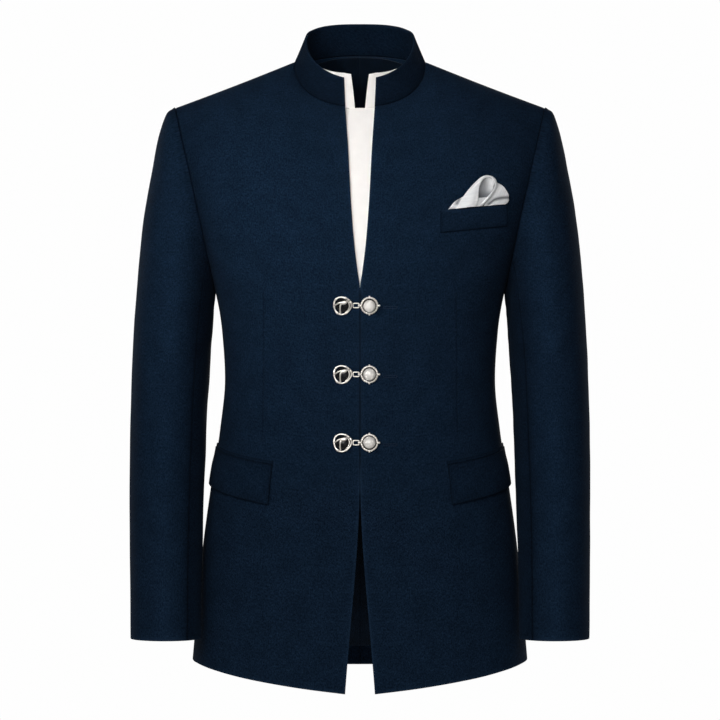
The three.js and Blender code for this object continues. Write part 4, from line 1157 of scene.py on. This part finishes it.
# Clasps
# Each part is made about its own middle: x across, y up the front, z out of the cloth
claspLook = {
    "heights": {"upper": -293.6, "middle": -374.4, "lower": -454.7},
    "lift": 0.45,
    "cageX": -20.6,
    "cageRadius": 10.1,
    "cageWire": 1.15,
    "cageHeight": 2.0,
    "barLift": 0.9,  # of the bars over the dome's top
    "domeRadius": 7.9,
    "domeHeight": 4.8,
    "bezelX": 10.9,
    "bezelRadius": 9.2,
    "bezelWire": 1.3,
    "bezelHeight": 2.0,
    "stepRadius": 7.7,  # the inner rim, one step below the outer one
    "stepWire": 0.8,
    "stepHeight": 1.5,
    "pearlRadius": 7.3,
    "pearlHeight": 5.6,
    "pearlBase": 1.7,
    "linkFrom": -8.1,
    "linkTo": -0.95,
    "linkHalf": 2.6,
    "linkWire": 0.75,
    "lumps": ((0.35, 0.45), (1.15, 0.6), (2.35, 0.5), (3.3, 0.35), (4.1, 0.5), (5.2, 0.45)),  # angle and size
    "domeWide": (0, 1, 1.0, 0.97, 0.9, 0.8, 0.66, 0.48, 0.26, 0),
    "domeHigh": (0, 0.02, 0.3, 0.45, 0.6, 0.73, 0.84, 0.93, 0.985, 1),
    "plate": [[0, 0.05], [9.2, 0.05], [9.2, 1.2], [7.0, 0.9], [0, 0.8]],
    # each knob's half turns from the wearer's left, its rise over the rim, its size and how far out it stands
    "knobs": ((0.0, 0.3, 1.5, 11.4), (0.5, 0.3, 1.2, 10.6), (1.0, 1.5, 1.4, 10.6), (1.5, 0.3, 1.2, 10.6)),
    "knobFoot": 1.0,  # how far in from the knob its foot stands on the rim
}


def fan(pole, a, b):  # triangles round a pole
    return np.stack([np.full(len(a), pole), a, b], axis=1).tolist()


# A rod along a path; flat squeezes its section towards what it faces. Open ends close in a point.
def rod(path, radius, sides=12, closed=False, flat=1.0, facing=(0.0, 0.0, 1.0)):
    count = len(path)
    step = np.roll(path, -1, 0) - np.roll(path, 1, 0) if closed else np.gradient(path, axis=0)
    ahead = unit(step)
    side = unit(np.cross(ahead, facing))
    up = np.cross(side, ahead)
    turn = turns(sides)[None, :, None]
    wide = np.broadcast_to(radius, (count,))[:, None, None]
    rings = path[:, None] + wide * (np.cos(turn) * side[:, None] + flat * np.sin(turn) * up[:, None])
    at = np.arange(count * sides).reshape(count, sides)
    turned, nextRow = np.roll(at, -1, 1), np.roll(at, -1, 0)
    rows = slice(None) if closed else slice(0, count - 1)
    corners = [at[rows], nextRow[rows], np.roll(nextRow, -1, 1)[rows], turned[rows]]
    vertices, faces = rings.reshape(-1, 3), np.stack(corners, axis=-1).reshape(-1, 4).tolist()
    if not closed:
        tips = path[[0, -1]] + ahead[[0, -1]] * (0.6 * np.array([-radius[0], radius[-1]]))[:, None]
        vertices = np.concatenate([vertices, tips])
        faces += fan(count * sides, at[0], turned[0]) + fan(count * sides + 1, turned[-1], at[-1])
    return vertices, faces


# A solid turned about z: the profile runs from the axis below to the axis above
def turnedSolid(profile, sides=48):
    profile = np.asarray(profile, float)
    turn = turns(sides)
    r, h = profile[1:-1, 0, None], profile[1:-1, 1, None]
    rings = points(r * np.cos(turn), r * np.sin(turn), h + 0 * turn).reshape(-1, 3)
    vertices = np.concatenate([rings, [[0, 0, profile[0, 1]], [0, 0, profile[-1, 1]]]])
    at = np.arange(len(rings)).reshape(-1, sides)
    turned = np.roll(at, -1, 1)
    faces = np.stack([at[:-1], turned[:-1], turned[1:], at[1:]], axis=-1).reshape(-1, 4).tolist()
    return vertices, faces + fan(len(rings), turned[0], at[0]) + fan(len(rings) + 1, at[-1], turned[-1])


def ball(middle, radii, sides=20, turn=0.0):
    lean = np.linspace(0, np.pi, 13)
    vertices, faces = turnedSolid(np.stack([np.sin(lean), -np.cos(lean)], axis=1), sides)
    vertices = vertices * radii
    x, y, z = vertices.T
    across = x * np.cos(turn) - y * np.sin(turn)
    return points(across, x * np.sin(turn) + y * np.cos(turn), z) + middle, faces


# A slightly flat rod through a few given places, its radius given at each
def bar(places, radii, count=30):
    at = np.linspace(0, 1, len(places))
    t = np.linspace(0, 1, count)
    path = np.stack([curveThrough(at, column + 1e-6 * at)(t) for column in np.transpose(places)], axis=-1)
    return rod(path, curveThrough(at, radii)(t), flat=0.7)


def joinParts(parts):
    starts = np.cumsum([0] + [len(part[0]) for part in parts])
    vertices = np.concatenate([part[0] for part in parts])
    recess = np.concatenate([np.full(len(part[0]), part[2] if len(part) > 2 else 0.0) for part in parts])
    faces = [[i + start for i in face] for part, start in zip(parts, starts) for face in part[1]]
    return vertices, faces, recess


def onFront(vertices, x, z, lift):
    u, v = frontPlace(np.array([abs(x)]), np.array([z]))
    normal, place = shellNormal(front, u, v)[0], shell(front, u, v)[0]
    if x < 0:
        normal[0], place[0] = -normal[0], -place[0]
    across = unit(np.array([1.0, 0, 0]) - normal * normal[0])
    up = np.cross(normal, across)
    return place + normal * lift + vertices @ np.stack([across, up, normal])


look = claspLook
angle = turns(120)
over = look["domeHeight"] + look["barLift"]
ringRadius = look["cageRadius"] + 0.5 * np.sin(3 * angle + 1)
lumps = 0.0
for place, size in look["lumps"]:
    lumps = lumps + size * bell((np.mod(angle - place + np.pi, 2 * np.pi) - np.pi) / 0.13)
ringWire = look["cageWire"] * (0.9 + 0.1 * np.sin(5 * angle)) + lumps
ringHeight = look["cageHeight"] + 0.25 * np.sin(2 * angle)
ring = points(ringRadius * np.cos(angle), ringRadius * np.sin(angle), ringHeight)
crescent = np.linspace(-1.15, 1.0, 30)
inner = points(7.7 * np.cos(crescent) + 0.6, 7.9 * np.sin(crescent), 3.4 + 0.5 * np.cos(crescent))
cage = joinParts([
    rod(ring, ringWire, 14, True, 0.9),
    bar([[-10.1, -0.6, 2.2], [-7, 1.6, 4.6], [-3.4, 3.6, over], [1, 4.4, over + 0.5]], [1, 0.8, 0.95, 1.5]),
    bar([[4.6, 4.6, over], [7.4, 6, 4.2], [9, 5.2, 2.4]], [1.3, 0.9, 1], 20),
    bar([[-0.6, 3, over], [-2.2, 0.4, over], [-2.5, -4.4, 4.6], [-2.2, -9.6, 2.2]], [1.2, 0.95, 0.8, 1.1]),
    rod(inner, 0.42 + 0.25 * np.sin(np.linspace(0, np.pi, 30)), 10),
    ball([2.0, 3.9, over + 0.5], [3.9, 2.3, 1.5], 28, 0.25),
])
wide, high = look["domeRadius"] * np.array(look["domeWide"]), look["domeHeight"] * np.array(look["domeHigh"])
dome = joinParts([turnedSolid(np.stack([wide, high], axis=1))])
scallop = look["bezelWire"] * (1 + 0.13 * np.cos(20 * angle))
circle = points(np.cos(angle), np.sin(angle), 0 * angle)
rim = circle * look["bezelRadius"] + [0, 0, look["bezelHeight"]]
step = circle * look["stepRadius"] + [0, 0, look["stepHeight"]]
knobs = []
for place, rise, size, at in look["knobs"]:
    across, up, high = math.cos(math.pi * place), math.sin(math.pi * place), look["bezelHeight"]
    knobs.append(ball([at * across, at * up, high + rise], [size, size, size * 0.9]))
    at = at - look["knobFoot"]
    knobs.append(ball([at * across, at * up, high + rise * 0.6], [size, size * 0.8, size]))
bezel = joinParts([
    rod(rim, scallop, 14, True),
    rod(step, look["stepWire"], 10, True) + (1.0,),
    turnedSolid(look["plate"]) + (1.0,),
    *knobs,
])
lean = np.linspace(0, np.pi, 33)
rise = look["pearlBase"] + look["pearlHeight"] * (1 - np.cos(lean))
bead = joinParts([turnedSolid(np.stack([look["pearlRadius"] * np.sin(lean), rise], axis=1), 64)])
linkX, linkY = squaredLoop(angle, 5)
linkX = (look["linkFrom"] + look["linkTo"]) / 2 + (look["linkTo"] - look["linkFrom"]) / 2 * linkX
linkRing = points(linkX, look["linkHalf"] * linkY, 0 * angle)
link = joinParts([
    rod(linkRing, look["linkWire"], 12, True),
    ball([look["linkTo"] - 0.3, 0, 0.9], [1.3, 2.0, 1.1]),
])
for level, height in look["heights"].items():
    for label, part, x, slotName, material in (
        ("cage", cage, look["cageX"], "silver", silver),
        ("dome", dome, look["cageX"], "onyx", glass),
        ("bezel", bezel, look["bezelX"], "silver", silver),
        ("pearl", bead, look["bezelX"], "pearl", pearl),
        ("link", link, 0.0, "silver", silver),
    ):
        lift = look["lift"] + (look["linkWire"] if label == "link" else 0.0)
        vertices = onFront(part[0], x, height, lift)
        piece = makeMesh(f"{label}_{level}", vertices, part[1], attributes={"recess": part[2]})
        finishPiece(piece, slotName, [f"clasp_{level}_{label}"], [material])
print("clasps made")

# Buttonholes: a corded edge of twist round a closed slit, in line with each clasp
holeLook = {"middle": 35.4, "half": 7.8, "low": -2.4, "rise": 1.2, "twist": 0.38, "stitch": 0.8, "out": 0.1}
loopX, loopZ = squaredLoop(turns(420), 6)
for level, height in claspLook["heights"].items():
    x, z = holeLook["middle"] + holeLook["half"] * loopX, height + holeLook["low"] + holeLook["rise"] * loopZ
    path = overFront(x, z, holeLook["out"])
    length = np.cumsum(np.linalg.norm(np.diff(path, axis=0, prepend=path[:1]), axis=1))
    radius = holeLook["twist"] * (1 + 0.25 * np.sin(2 * np.pi * length / holeLook["stitch"]))
    piece = makeMesh(f"buttonhole_{level}", *rod(path, radius, 8, True, facing=(0.0, -1.0, 0.0)))
    piece.data.materials.append(twist)
print("buttonholes made")

# Studio
floorLook = {"radius": 1500.0, "level": -1500.0, "sides": 96}
roomLook = {"backdrop": 0.99, "walls": 0.45, "room": 0.03}  # how bright each looks
cameraLook = {"place": (0.0, -5.0, -0.3576), "lens": 208.33, "sensor": 36.0, "far": 100.0}
turn = turns(floorLook["sides"])
rim = points(floorLook["radius"] * np.cos(turn), floorLook["radius"] * np.sin(turn), floorLook["level"])
floor = makeMesh("floor", rim, [list(range(floorLook["sides"]))])
floorPaint, _ = newMaterial("pale matt floor paint", {"Base Color": linear("#e8e6e3"), "Roughness": 0.8})
floor.data.materials.append(floorPaint)

world = bpy.data.worlds.new("studio")
bpy.context.scene.world = world
world.use_nodes = True
backdrop = addNode(world, "Background", {"Color": (1.0, 1.0, 1.0, 1.0), "Strength": roomLook["backdrop"]})
walls = addNode(world, "Background", {"Color": linear("#f2f0ee"), "Strength": roomLook["walls"]})
room = world.node_tree.nodes["Background"]
joinSockets(world, room, {"Color": linear("#eef2f8"), "Strength": roomLook["room"]})
sight = addNode(world, "LightPath")
sockets = {0: (sight, "Is Glossy Ray"), 1: (room, "Background"), 2: (walls, "Background")}
shiny = addNode(world, "MixShader", sockets)
sockets = {0: (sight, "Is Camera Ray"), 1: (shiny, "Shader"), 2: (backdrop, "Background")}
mix = addNode(world, "MixShader", sockets)
world.node_tree.links.new(mix.outputs[0], world.node_tree.nodes["World Output"].inputs["Surface"])

# A broad softbox in front, weaker ones to the left and low on the right, a gridded one on the chest;
# three more behind light the back and the sides. Each has its place and aim in metres, its size,
# its spread in degrees and its watts.
lights = {
    "broad": ((-0.35, -2.6, 0.35), (0.0, 0.0, -0.3), 1.6, 150, 30.0),
    "side": ((-1.6, -1.9, 0.35), (0.0, -0.1, -0.3), 1.0, 120, 3.2),
    "low": ((0.9, -2.4, -0.7), (0.0, 0.0, -0.4), 1.4, 150, 2.2),
    "chest": ((-1.1, -1.7, 0.35), (-0.1, -0.12, -0.14), 0.4, 15, 0.26),
    "rear": ((0.5, 2.8, 0.6), (0.0, 0.0, -0.35), 1.6, 160, 34.0),
    "rearLeft": ((-2.3, 2.6, 0.4), (0.0, 0.1, -0.35), 1.3, 140, 17.0),
    "rearRight": ((2.3, 2.6, 0.4), (0.0, 0.1, -0.35), 1.3, 140, 17.0),
}
for label, (place, aim, size, spread, watts) in lights.items():
    lamp = bpy.data.lights.new(label, "AREA")
    lamp.size, lamp.energy, lamp.spread = size, watts, math.radians(spread)
    made = bpy.data.objects.new(label, lamp)
    made.location = place
    made.visible_camera = False
    way = [b - a for a, b in zip(place, aim)]
    made.rotation_euler = (math.atan2(math.hypot(way[0], way[1]), -way[2]), 0, math.atan2(-way[0], way[1]))
    bpy.context.scene.collection.objects.link(made)

view = bpy.data.cameras.new("camera")
view.lens, view.sensor_width, view.clip_end = [cameraLook[key] for key in ("lens", "sensor", "far")]
camera = bpy.data.objects.new("camera", view)
camera.location = cameraLook["place"]
camera.rotation_euler = (math.radians(90), 0, 0)
bpy.context.scene.collection.objects.link(camera)
bpy.context.scene.camera = camera
bpy.context.scene.view_settings.view_transform = "Standard"
print("studio made")
